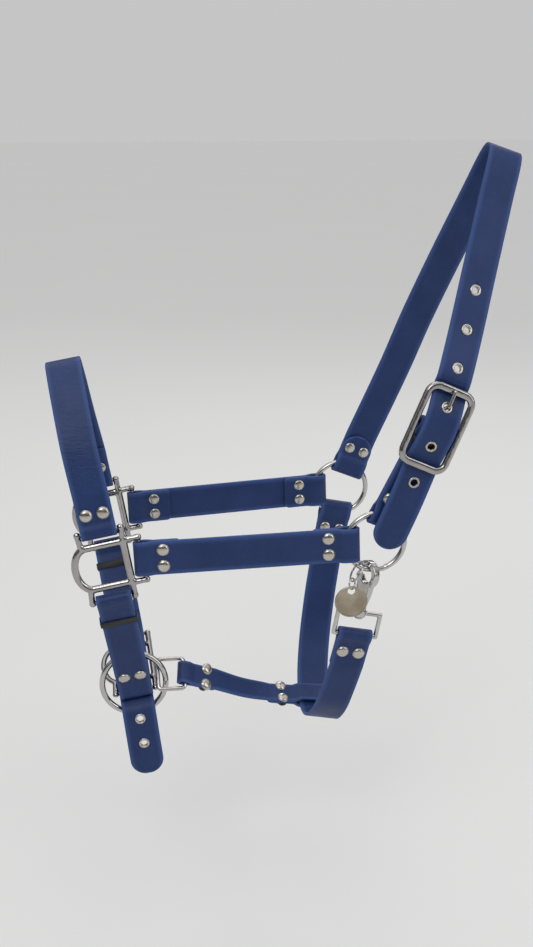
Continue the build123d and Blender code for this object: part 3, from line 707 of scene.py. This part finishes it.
def buckleStrap():
    low = ringCentre[-1] + buckleAlong * ringSeat(ringShape["radius"], band["width"])
    along = (buckleCentre - low).normalized()
    lowEnd = seatAt(low, along, Vector((0, -1, 0)))
    topEnd = seatAt(buckleCentre, -along, Vector((0, -1, 0)))
    span = (buckleCentre - low).length
    lowFold = foldLine(lowEnd, ringShape["foldWire"] + 0.4, 5.6, span * 0.52)
    topFold = list(reversed(foldLine(topEnd, buckleShape["centreBar"], 0.0, span * 0.47)))
    topFold = [(p, s if s.dot(lowFold[-1][1]) > 0 else -s) for p, s in topFold]
    mesh = bandMesh("buckle_strap", lowFold + topFold, band["width"], 1.2, 3.0)
    slit = block(topEnd, (9.0, 13.0, buckleShape["tongue"] + 1.2), (0.6, 0, 0))
    addRivets("buckle_strap_rivets", lowEnd, 17.7)
    return newPiece("buckleBand", cutThrough(mesh, [slit]), "straps", "strap", "buckle_strap")


def nearChinStrap():
    top = at(squareSeat(-1), squareShape["slotMiddle"], -squareShape["pinOut"])
    low = at(chinSeat(), squareShape["slotMiddle"], -squareShape["pinOut"])
    along = (low - top).normalized()
    out = Vector((0, -1, 0))
    upper = seatAt(pinSeat(top, along, 1.6), along, out)
    lower = seatAt(pinSeat(low, -along, 1.6), -along, out)
    half = (low - top).length / 2 + 0.8
    upperFold = foldLine(upper, 3.0, 1.6, half - 0.4)
    lowerFold = list(reversed(foldLine(lower, 3.0, 1.6, half - 0.4)))
    lowerFold = [(p, s if s.dot(upperFold[-1][1]) > 0 else -s) for p, s in lowerFold]
    mesh = bandMesh("near_chin_strap", upperFold + lowerFold, band["width"], 1.2, 1.2)
    addRivets("near_chin_rivets", lower, 19.5)
    return newPiece("nearChinBand", mesh, "straps", "strap", "near_chin_strap")


def farChinStrap():
    seat = chinSeat()
    middle = squareShape["slotMiddle"]
    top = at(squareSeat(1), middle, -squareShape["pinOut"])
    over = at(seat, middle, 27.0, 6.2)
    along = (over - top).normalized()
    upper = seatAt(pinSeat(top, along, 1.6), along, Vector((0, 1, 0)))
    clear = squareShape["bar"] / 2 + 1.0 + band["gap"] + 1.25
    points = []
    for y, z in ((28.0, 5.4), (20.0, clear + 0.4), (0.0, clear + 0.1), (-11.0, clear)):
        points.append(at(seat, middle, y, z))
    for angle in (115, 140, 165, 185):
        a = radians(angle)
        points.append(at(seat, middle, -squareShape["top"] + clear * cos(a), clear * sin(a)))
    lowX = at(seat, middle, -squareShape["pinOut"]).x
    for x, y, z in ((0.1, -14.8, -393.6), (0.3, -16.6, -397.6), (0.9, -21.8, -401.2), (1.6, -26.4, -406.0),
                    (2.6, -28.6, -414.0), (4.5, -29.4, -430.0), (6.5, -29.6, -446.0)):
        points.append(Vector((lowX + x, y, z)))
    across = [seat["along"]] * len(points)
    line = strapLine((upper, 3.0, 1.6, 54.0), points, across, None, 6)
    mesh = bandMesh("far_chin_strap", line, band["width"], 3.0, 11.5)
    seats = eyeletPlaces(line, Vector((lowX + 3.0, -28.8, -412.5)), eyeletShape["tailPitch"], 0, 1)
    mesh = cutThrough(mesh, [plug(s, eyeletShape["barrel"], 9.0) for s in seats])
    eyeletRows.append(("chin_eyelets", seats))
    addRivets("far_chin_rivets", upper, 46.0)
    return newPiece("farChinBand", mesh, "straps", "strap", "far_chin_strap")


throatShape = {"lean": 11.0, "reach": 51.0, "loopBar": 3.4}
throatAcross, throatUp = tilted(-throatShape["lean"])
throatDown = -throatUp
loopShape = {"wire": 3.2, "tilt": 43.0, "length": 20.0, "reach": 4.2}


def throatPoint(y, down):
    return Vector((ringCentre[-1].x, y, ringCentre[-1].z)) + throatDown * down


def throatStrap():
    spreadOut = ringCentre[1].y
    near = throatPoint(-spreadOut, ringShape["radius"] + throatShape["reach"])
    far = throatPoint(spreadOut, ringSeat(ringShape["radius"], band["width"]))
    nearAlong = throatDown + Vector((0, 0.16, 0))
    farAlong = throatDown + Vector((0, -0.05, 0))
    nearEnd = seatAt(pinSeat(near, nearAlong, 1.0), nearAlong, Vector((0, -1, 0)))
    farEnd = seatAt(far, farAlong, Vector((0, 1, 0)))
    bends = ((-54.0, 122.0), (-45.0, 141.0), (-30.0, 156.0), (-12.0, 161.5), (7.0, 158.0), (27.0, 145.0),
             (43.0, 123.0), (54.5, 95.0), (60.5, 70.0))
    points = [throatPoint(y, down) for y, down in bends]
    line = strapLine((nearEnd, throatShape["loopBar"], 1.0, 26.0), points, [throatAcross] * len(points),
                     (farEnd, ringShape["foldWire"], 5.6, 26.0), 8)
    mesh = bandMesh("throat_strap", line, band["width"], 3.0, 3.0)
    addRivets("throat_near_rivets", nearEnd, 14.5)
    addRivets("throat_far_rivets", farEnd, 17.5)
    return newPiece("throatBand", mesh, "straps", "strap", "throat_strap")


def loopSeat():
    a = radians(loopShape["tilt"])
    centre = leadCentre + Vector((ringShape["leadRadius"] + loopShape["reach"], 0.0, 5.5))
    along = Vector((1, 0, 0))
    face = Vector((0, -cos(a), sin(a)))
    return {"origin": centre, "along": along, "out": face.cross(along), "side": face}


def chinLinkStrap():
    seat = loopSeat()
    barMiddle = at(seat, loopShape["length"] / 2, 0)
    run = (throatPoint(27.0, 145.0) - throatPoint(-12.0, 161.5)).normalized()
    wrapped = throatPoint(7.0, 157.6)
    face = throatAcross.cross(run)
    face = face if face.z > 0 else -face
    back = (-throatAcross + Vector((0, -0.12, 0))).normalized()
    grip = 23.0
    stop = seatAt(wrapped - back * (grip / 2), back, face)
    rear = frontEnd(stop, 48.0)
    ahead = (rear - barMiddle).normalized()
    start = seatAt(pinSeat(barMiddle, ahead, 1.6), ahead, seat["side"])
    middle = (frontEnd(start, 27.0) + rear) / 2 + Vector((0, 0, -1.5))
    side = start["side"] - stop["side"]
    line = strapLine((start, loopShape["wire"] + 0.7, 1.6, 27.0), [middle], [side], (stop, 5.4, grip, 48.0), 14)
    mesh = bandMesh("chin_link_strap", line, band["linkWidth"], 3.0, 3.0)
    addRivets("chin_link_front_rivets", start, 19.0)
    addRivets("chin_link_rear_rivets", stop, 39.0)
    return newPiece("chinLinkBand", mesh, "straps", "strap", "chin_link_strap")


for side in (-1, 1):
    cheekStrap(side)
noseStrap()
crownStrap()
buckleStrap()
nearChinStrap()
farChinStrap()
throatStrap()
chinLinkStrap()
print("straps made")


# ---- polished castings: a merged copy of the CAD shape, with its edges run round

castingShape = {"voxel": 0.00045, "passes": 9, "factor": 0.5, "crown": 0.66, "reach": 2.5}


def crowned(mesh, seat):
    # Rounds the flat faces over towards the edges of the bars; the straight pins stay as they are
    places = []
    for vert in mesh.vertices:
        away = vert.co / toMetres - seat["origin"]
        places.append((away.dot(seat["along"]), away.dot(seat["out"]), away.dot(seat["side"])))
    walls = [i for i, vert in enumerate(mesh.vertices) if abs(vert.normal.dot(seat["side"])) < 0.6]
    tree = KDTree(len(walls))
    for i in walls:
        tree.insert((places[i][0], places[i][1], 0.0), i)
    tree.balance()
    for vert, (x, y, z) in zip(mesh.vertices, places):
        if (abs(y) > 24.2 and -13.8 < x < 11.4) or (x > 22.8 and abs(y) < 13.6):
            continue
        near = 1.0 - min(tree.find((x, y, 0.0))[2] / castingShape["reach"], 1.0)
        vert.co -= seat["side"] * (z * castingShape["crown"] * near**2 * toMetres)
    mesh.update()


def castPiece(name, node, body, slot, voxel=None, passes=None, seat=None):
    mesh = withModifiers(
        cadCopy(node, node + "Copy"),
        ("REMESH", {"mode": "VOXEL", "voxel_size": voxel or castingShape["voxel"], "use_smooth_shade": True}),
        ("SMOOTH", {"factor": castingShape["factor"], "iterations": passes or castingShape["passes"]}),
    )
    if seat is not None:
        crowned(mesh, seat)
    return newPiece(name, mesh, body, slot, node)


castPiece("nearSquareCasting", "near_square", "straps", "casting", seat=squareSeat(-1))
castPiece("farSquareCasting", "far_square", "straps", "casting", seat=squareSeat(1))
castPiece("chinSquareCasting", "chin_square", "straps", "casting", seat=chinSeat())
castPiece("buckleFrameCasting", "crown_buckle_frame", "straps", "casting", 0.0005, 20)
castPiece("buckleTongueBar", "crown_buckle_tongue", "crown_buckle_tongue", "casting", 0.0003, 6)
castPiece("snapHookCasting", "snap_body", "snap_hook", "snap", 0.00032, 7)
castPiece("snapGateLever", "snap_gate", "snap_gate", "snap", 0.00022, 4)
castPiece("snapSwivelLoop", "snap_swivel_loop", "straps", "snap", 0.00035, 5)
castPiece("chinLoopWire", "chin_loop", "chin_loop", "ring", 0.0003, 4)
print("castings made")


# ---- wire rings

def ringLine(centre, axis, radius, count):
    axis = axis.normalized()
    first = axis.orthogonal().normalized()
    second = axis.cross(first)
    return [centre + first * (radius * cos(2 * pi * i / count)) + second * (radius * sin(2 * pi * i / count))
            for i in range(count)]


def wireMesh(name, line, thick, closed=True, sides=20, swell=None):
    # A round wire along a line; swell gives a thickness factor at each place
    working = bmesh.new()
    count = len(line)
    rows = []
    middle = sum(line, Vector()) / count
    for i, place in enumerate(line):
        before = line[i - 1] if closed or i else line[0]
        after = line[(i + 1) % count] if closed or i < count - 1 else line[-1]
        ahead = (after - before).normalized()
        outward = place - middle
        outward = (outward - ahead * outward.dot(ahead)).normalized()
        other = ahead.cross(outward)
        r = thick / 2 * (swell(i / count) if swell else 1.0)
        rows.append([working.verts.new((place + outward * (r * cos(2 * pi * k / sides))
                                        + other * (r * sin(2 * pi * k / sides))) * toMetres) for k in range(sides)])
    pairs = list(zip(rows, rows[1:])) + ([(rows[-1], rows[0])] if closed else [])
    for a, b in pairs:
        for k in range(sides):
            working.faces.new((a[k], a[(k + 1) % sides], b[(k + 1) % sides], b[k]))
    if not closed:
        working.faces.new(rows[0])
        working.faces.new(list(reversed(rows[-1])))
    return meshFrom(working, name)


def weld(at0, width=0.008, height=0.03):
    # A slight collar where the wire's ends are welded
    def factor(u):
        gapAround = abs((u - at0 + 0.5) % 1.0 - 0.5)
        return 1.0 + height * exp(-((gapAround / width) ** 2)) - 0.05 * exp(-(((gapAround - 0.012) / 0.003) ** 2))
    return factor


def nodeMiddle(node):
    low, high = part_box(node)
    return (low + high) / 2 / toMetres


def weldedRing(name, node, body, centre, radius, thick, weldAt):
    line = ringLine(centre, Vector((0, 1, 0)), radius, 200)
    return newPiece(name, wireMesh(node, line, thick, swell=weld(weldAt)), body, "ring", node)


weldedRing("nearCheekRing", "near_cheek_ring", "near_cheek_ring", ringCentre[-1], 21.0, 4.0, 0.31)
weldedRing("farCheekRing", "far_cheek_ring", "far_cheek_ring", ringCentre[1], 21.0, 4.0, 0.55)
weldedRing("leadRing", "lead_ring", "lead_ring", leadCentre, 23.8, 4.5, 0.12)


# ---- tag and its two rings

tagShape = {"splitRadius": 8.0, "splitWire": 0.96, "jumpRadius": 3.9, "jumpWire": 1.2, "disc": 11.8, "thick": 1.2,
            "hole": 2.7, "rim": 1.0, "lip": 0.9, "sunk": 0.18}


def tagPieces():
    splitMiddle = nodeMiddle("tag_split_ring")
    turned = seatAt(Vector(), direction(-0.5, -0.45, -0.74), direction(1, 0.3, 0))["out"]
    line = []
    first = turned.orthogonal().normalized()
    second = turned.cross(first)
    turns, count = 2.02, 190
    for i in range(count + 1):
        u = i / count
        angle = 2 * pi * turns * u
        shift = (u - 0.5) * 2 * (tagShape["splitWire"] / 2 + 0.02)
        radius = tagShape["splitRadius"]
        line.append(splitMiddle + first * (radius * cos(angle)) + second * (radius * sin(angle)) + turned * shift)
    newPiece("tagSplitRing", wireMesh("tag_split_ring", line, tagShape["splitWire"], False, 12), "tag_split_ring",
             "ring", "tag_split_ring")
    jump = ringLine(nodeMiddle("tag_jump_ring"), direction(0.75, -0.66, 0.1), tagShape["jumpRadius"], 72)
    newPiece("tagJumpRing", wireMesh("tag_jump_ring", jump, tagShape["jumpWire"], sides=12,
                                     swell=weld(0.2, 0.006, -0.3)), "tag_jump_ring", "ring", "tag_jump_ring")
    face = direction(-0.08, -1, 0)
    across = direction(1, -0.08, 0)
    rise = face.cross(across)
    middle = nodeMiddle("tag_disc")
    r, half, lip, sunk = tagShape["disc"], tagShape["thick"] / 2, tagShape["lip"], tagShape["sunk"]
    outline = [(0.0, half - sunk), (r - lip - 0.5, half - sunk), (r - lip, half), (r - 0.3, half), (r, half - 0.3)]
    outline += [(x, -y) for x, y in reversed(outline)]
    working = bmesh.new()
    sides = 96
    rows = []
    for x, y in outline[1:-1]:
        rows.append([working.verts.new((middle + across * (x * cos(2 * pi * k / sides))
                                        + rise * (x * sin(2 * pi * k / sides)) + face * y) * toMetres)
                     for k in range(sides)])
    for a, b in zip(rows, rows[1:]):
        for k in range(sides):
            working.faces.new((a[k], b[k], b[(k + 1) % sides], a[(k + 1) % sides]))
    working.faces.new(rows[0])
    working.faces.new(list(reversed(rows[-1])))
    plate = meshFrom(working, "tag_disc", False)
    holeSeat = {"origin": middle + rise * (r - tagShape["hole"] - tagShape["rim"]), "along": across, "side": rise,
                "out": face}
    plate = cutThrough(plate, [plug(holeSeat, tagShape["hole"], 6.0, 40)])
    plate = withModifiers(plate, ("BEVEL", {"width": 0.0001, "segments": 2, "limit_method": "ANGLE"}))
    newPiece("tagDisc", plate, "tag_disc", "tag", "tag_disc")


tagPieces()


# ---- keepers and the gate's pin

def keeperPiece(name, node, body):
    mesh = withModifiers(
        cadCopy(node, node + "Copy"),
        ("BEVEL", {"width": 0.00045, "segments": 4, "limit_method": "ANGLE", "angle_limit": radians(50)}),
        ("WEIGHTED_NORMAL", {}),
    )
    for face in mesh.polygons:
        face.use_smooth = True
    return newPiece(name, mesh, body, "keeper", node)


keeperPiece("buckleKeeperLoop", "buckle_keeper", "straps")
keeperPiece("nearChinKeeperLoop", "near_chin_keeper", "near_chin_keeper")
keeperPiece("farChinKeeperLoop", "far_chin_keeper", "far_chin_keeper")

pinMesh = withModifiers(cadCopy("snap_gate_pin", "pinCopy"),
                        ("BEVEL", {"width": 0.0002, "segments": 2, "limit_method": "ANGLE"}))
newPiece("gatePin", pinMesh, "snap_hook", "snap", "snap_gate_pin")
print("rings, tag and keepers made")


# ---- rivets and eyelets, set on points by Geometry Nodes

rivetShape = {"Cap Radius": 4.5, "Cap Height": 1.9, "Back Radius": 4.1, "Back Height": 1.15, "Grip": 2.5,
              "Rim": 0.42}
eyeletLook = {"Hole": 2.5, "Flange": 4.05, "Grip": 1.6}


def treeWith(name, inputs):
    tree = bpy.data.node_groups.new(name, "GeometryNodeTree")
    tree.interface.new_socket("Geometry", in_out="INPUT", socket_type="NodeSocketGeometry")
    for label, value in inputs.items():
        made = tree.interface.new_socket(label, in_out="INPUT", socket_type="NodeSocketFloat")
        made.default_value = value
    tree.interface.new_socket("Finish", in_out="INPUT", socket_type="NodeSocketMaterial")
    tree.interface.new_socket("Geometry", in_out="OUTPUT", socket_type="NodeSocketGeometry")
    return tree, put(tree, "NodeGroupInput"), put(tree, "NodeGroupOutput")


def metres(tree, socket):
    return maths(tree, "MULTIPLY", socket, toMetres)


def vectorOf(tree, x=0.0, y=0.0, z=0.0):
    node = put(tree, "ShaderNodeCombineXYZ")
    for i, value in enumerate((x, y, z)):
        if isinstance(value, float):
            node.inputs[i].default_value = value
        else:
            tree.links.new(value, node.inputs[i])
    return node.outputs[0]


def moved(tree, geometry, offset=None, scale=None):
    node = put(tree, "GeometryNodeTransform")
    tree.links.new(geometry, node.inputs["Geometry"])
    if offset is not None:
        tree.links.new(offset, node.inputs["Translation"])
    if scale is not None:
        tree.links.new(scale, node.inputs["Scale"])
    return node.outputs[0]


def hoop(tree, radius, thick, flat=1.0):
    # A ring of round section, radius and thick being sockets in metres
    circle = put(tree, "GeometryNodeCurvePrimitiveCircle")
    circle.inputs["Resolution"].default_value = 40
    section = put(tree, "GeometryNodeCurvePrimitiveCircle")
    section.inputs["Resolution"].default_value = 10
    swept = put(tree, "GeometryNodeCurveToMesh")
    wire(tree, (radius, circle.inputs["Radius"]), (thick, section.inputs["Radius"]),
         (circle.outputs["Curve"], swept.inputs["Curve"]), (section.outputs["Curve"], swept.inputs["Profile Curve"]))
    return moved(tree, swept.outputs["Mesh"], scale=vectorOf(tree, 1.0, 1.0, flat))


def domeNodes(tree, radius, height):
    # A ball pressed flat below and shallow above
    ball = put(tree, "GeometryNodeMeshUVSphere")
    ball.inputs["Segments"].default_value = 32
    ball.inputs["Rings"].default_value = 20
    ball.inputs["Radius"].default_value = 1.0
    place = put(tree, "GeometryNodeInputPosition")
    apart = put(tree, "ShaderNodeSeparateXYZ")
    wire(tree, (place.outputs[0], apart.inputs[0]))
    lifted = maths(tree, "MAXIMUM", apart.outputs["Z"], 0.0)
    fuller = maths(tree, "POWER", lifted, 0.86)
    offset = put(tree, "GeometryNodeSetPosition")
    wire(tree, (ball.outputs["Mesh"], offset.inputs["Geometry"]),
         (vectorOf(tree, apart.outputs["X"], apart.outputs["Y"], fuller), offset.inputs["Position"]))
    return moved(tree, offset.outputs[0], scale=vectorOf(tree, radius, radius, height))


def onPoints(tree, inside, outside, shapes):
    joined = put(tree, "GeometryNodeJoinGeometry")
    for shape in shapes:
        tree.links.new(shape, joined.inputs[0])
    facing = put(tree, "GeometryNodeInputNamedAttribute", data_type="FLOAT_VECTOR")
    facing.inputs["Name"].default_value = "facing"
    turn = put(tree, "FunctionNodeAlignRotationToVector", axis="Z")
    wire(tree, (facing.outputs["Attribute"], turn.inputs["Vector"]))
    set1 = put(tree, "GeometryNodeInstanceOnPoints")
    wire(tree, (inside.outputs["Geometry"], set1.inputs["Points"]), (joined.outputs[0], set1.inputs["Instance"]),
         (turn.outputs["Rotation"], set1.inputs["Rotation"]))
    real = put(tree, "GeometryNodeRealizeInstances")
    shade = put(tree, "GeometryNodeSetShadeSmooth")
    coat = put(tree, "GeometryNodeSetMaterial")
    wire(tree, (set1.outputs[0], real.inputs[0]), (real.outputs[0], shade.inputs["Geometry"]),
         (shade.outputs[0], coat.inputs["Geometry"]), (inside.outputs["Finish"], coat.inputs["Material"]),
         (coat.outputs[0], outside.inputs["Geometry"]))
    return tree


def rivetTree():
    tree, inside, outside = treeWith("rivetSetting", rivetShape)
    size = {name: metres(tree, inside.outputs[name]) for name in rivetShape}
    shapes = []
    for radius, height, sign in (("Cap Radius", "Cap Height", 1.0), ("Back Radius", "Back Height", -1.0)):
        base = maths(tree, "MULTIPLY", size["Grip"], sign)
        tall = maths(tree, "MULTIPLY", size[height], sign)
        cap = domeNodes(tree, maths(tree, "SUBTRACT", size[radius], 0.00022), size[height])
        if sign < 0:
            turned = put(tree, "GeometryNodeTransform")
            turned.inputs["Rotation"].default_value = (pi, 0, 0)
            tree.links.new(cap, turned.inputs["Geometry"])
            cap = turned.outputs[0]
        lifted = maths(tree, "ADD", base, maths(tree, "MULTIPLY", tall, 0.12))
        shapes.append(moved(tree, cap, offset=vectorOf(tree, z=lifted)))
        rim = hoop(tree, maths(tree, "SUBTRACT", size[radius], size["Rim"]), size["Rim"], 0.8)
        rimLift = maths(tree, "ADD", base, maths(tree, "MULTIPLY", size["Rim"], 0.7 * sign))
        shapes.append(moved(tree, rim, offset=vectorOf(tree, z=rimLift)))
    return onPoints(tree, inside, outside, shapes)


def eyeletTree():
    tree, inside, outside = treeWith("eyeletSetting", eyeletLook)
    size = {name: metres(tree, inside.outputs[name]) for name in eyeletLook}
    thick = maths(tree, "MULTIPLY", maths(tree, "SUBTRACT", size["Flange"], size["Hole"]), 0.5)
    middle = maths(tree, "ADD", size["Hole"], thick)
    shapes = []
    for sign in (1.0, -1.0):
        flange = hoop(tree, middle, thick, 0.62)
        shapes.append(moved(tree, flange, offset=vectorOf(tree, z=maths(tree, "MULTIPLY", size["Grip"], 0.82 * sign))))
    barrelRing = put(tree, "GeometryNodeCurvePrimitiveCircle")
    barrelRing.inputs["Resolution"].default_value = 40
    wall = put(tree, "GeometryNodeCurvePrimitiveQuadrilateral")
    wall.inputs["Width"].default_value = 0.00045
    swept = put(tree, "GeometryNodeCurveToMesh")
    wire(tree, (maths(tree, "ADD", size["Hole"], 0.0003), barrelRing.inputs["Radius"]),
         (maths(tree, "MULTIPLY", size["Grip"], 1.9), wall.inputs["Height"]),
         (barrelRing.outputs["Curve"], swept.inputs["Curve"]), (wall.outputs["Curve"], swept.inputs["Profile Curve"]))
    shapes.append(swept.outputs["Mesh"])
    return onPoints(tree, inside, outside, shapes)


def setOnPoints(name, node, tree, values, places, facings, slot):
    mesh = bpy.data.meshes.new(name)
    mesh.from_pydata([p * toMetres for p in places], [], [])
    facing = mesh.attributes.new("facing", "FLOAT_VECTOR", "POINT")
    for i, out in enumerate(facings):
        facing.data[i].vector = out
    piece = bpy.data.objects.new(name, mesh)
    bpy.context.scene.collection.objects.link(piece)
    modifier = piece.modifiers.new("setting", "NODES")
    modifier.node_group = tree
    for item in tree.interface.items_tree:
        if item.in_out == "INPUT" and item.name in values:
            modifier[item.identifier] = values[item.name]
        if item.in_out == "INPUT" and item.name == "Finish":
            modifier[item.identifier] = finishes[slot]
    graph = bpy.context.evaluated_depsgraph_get()
    plain = bpy.data.meshes.new_from_object(piece.evaluated_get(graph), depsgraph=graph)
    piece.modifiers.clear()
    piece.data = plain
    return settle(piece, "straps", slot, node)


rivetSetting, eyeletSetting = rivetTree(), eyeletTree()
for node, places, out in rivetRows:
    words = node.split("_")
    label = words[0] + "".join(w.capitalize() for w in words[1:])
    setOnPoints(label, node, rivetSetting, rivetShape, places, [out] * len(places), "rivet")
for node, seats in eyeletRows:
    words = node.split("_")
    label = words[0] + "".join(w.capitalize() for w in words[1:])
    setOnPoints(label, node, eyeletSetting, eyeletLook, [s["origin"] for s in seats], [s["out"] for s in seats],
                "eyelet")
print("rivets and eyelets set:", len(rivetRows), "pairs,", len(eyeletRows), "rows")


# ---- floor, light and camera

stageShape = {"drop": 0.10, "floor": 30.0, "pale": (0.74, 0.74, 0.73)}
cameraShape = {"azimuth": -8.0, "elevation": 16.8, "distance": 0.946, "target": (-0.170, 0.0, -0.232),
               "focal": 1270.0 / 947.0 * 24.0}


def paleFloor():
    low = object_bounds()[0][2] - stageShape["drop"]
    working = bmesh.new()
    size = stageShape["floor"] / 2
    corners = [working.verts.new((x * size, y * size, low)) for x, y in ((-1, -1), (1, -1), (1, 1), (-1, 1))]
    working.faces.new(corners)
    mesh = bpy.data.meshes.new("floor")
    working.to_mesh(mesh)
    working.free()
    floor = bpy.data.objects.new("floor", mesh)
    bpy.context.scene.collection.objects.link(floor)
    finish, tree, shader, place = blankFinish("paleFloor")
    cloud = put(tree, "ShaderNodeTexNoise")
    cloud.inputs["Scale"].default_value = 2.0
    tree.links.new(place, cloud.inputs["Vector"])
    pale = stageShape["pale"]
    tree.links.new(mixed(tree, cloud.outputs["Fac"], pale, tuple(v * 0.97 for v in pale)), shader.inputs["Base Color"])
    shader.inputs["Roughness"].default_value = 0.8
    mesh.materials.append(finish)
    floor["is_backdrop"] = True


def softLight(name, place, size, watts, aim=(-0.17, 0.0, -0.22)):
    lamp = bpy.data.lights.new(name, "AREA")
    lamp.shape = "RECTANGLE"
    lamp.size, lamp.size_y = size
    lamp.energy = watts
    holder = bpy.data.objects.new(name, lamp)
    bpy.context.scene.collection.objects.link(holder)
    holder.location = place
    holder.rotation_euler = (Vector(aim) - Vector(place)).to_track_quat("-Z", "Y").to_euler()


def studioWorld():
    world = bpy.data.worlds.new("studio")
    bpy.context.scene.world = world
    world.use_nodes = True
    tree = world.node_tree
    tree.nodes.clear()
    shown, hidden = put(tree, "ShaderNodeBackground"), put(tree, "ShaderNodeBackground")
    shown.inputs["Color"].default_value = (0.56, 0.56, 0.56, 1)
    place = put(tree, "ShaderNodeTexCoord")
    apart = put(tree, "ShaderNodeSeparateXYZ")
    ramp = put(tree, "ShaderNodeValToRGB")
    wire(tree, (place.outputs["Generated"], apart.inputs[0]))
    wire(tree, (spread(tree, apart.outputs["Z"], -1.0, 1.0), ramp.inputs["Fac"]), (ramp.outputs[0], hidden.inputs["Color"]))
    ramp.color_ramp.elements[0].color = (0.30, 0.30, 0.30, 1)
    ramp.color_ramp.elements[1].color = (1.15, 1.15, 1.15, 1)
    for height, grey in ((0.50, 0.10), (0.62, 0.13), (0.80, 0.7)):
        ramp.color_ramp.elements.new(height).color = (grey, grey, grey * 1.02, 1)
    mix = put(tree, "ShaderNodeMixShader")
    path = put(tree, "ShaderNodeLightPath")
    result = put(tree, "ShaderNodeOutputWorld")
    wire(tree, (path.outputs["Is Camera Ray"], mix.inputs[0]), (hidden.outputs[0], mix.inputs[1]),
         (shown.outputs[0], mix.inputs[2]), (mix.outputs[0], result.inputs[0]))


def camera():
    az, el = radians(cameraShape["azimuth"]), radians(cameraShape["elevation"])
    target = Vector(cameraShape["target"])
    data = bpy.data.cameras.new("camera")
    data.sensor_fit = "VERTICAL"
    data.sensor_height = 24.0
    data.lens = cameraShape["focal"]
    data.clip_start = 0.01
    holder = bpy.data.objects.new("camera", data)
    bpy.context.scene.collection.objects.link(holder)
    holder.location = target + Vector((sin(az) * cos(el), -cos(az) * cos(el), sin(el))) * cameraShape["distance"]
    holder.rotation_euler = (target - holder.location).to_track_quat("-Z", "Y").to_euler()
    bpy.context.scene.camera = holder


paleFloor()
softLight("keyLight", (-0.9, -1.3, 1.1), (0.9, 0.9), 8)
softLight("fillLight", (1.2, -1.0, 0.4), (0.6, 1.2), 5)
softLight("backLight", (0.3, 1.4, 0.9), (1.2, 0.5), 5)
softLight("topLight", (-0.1, 0.1, 1.4), (1.4, 1.4), 1)
studioWorld()
camera()
bpy.context.scene.view_settings.view_transform = "Standard"
print("stage set")
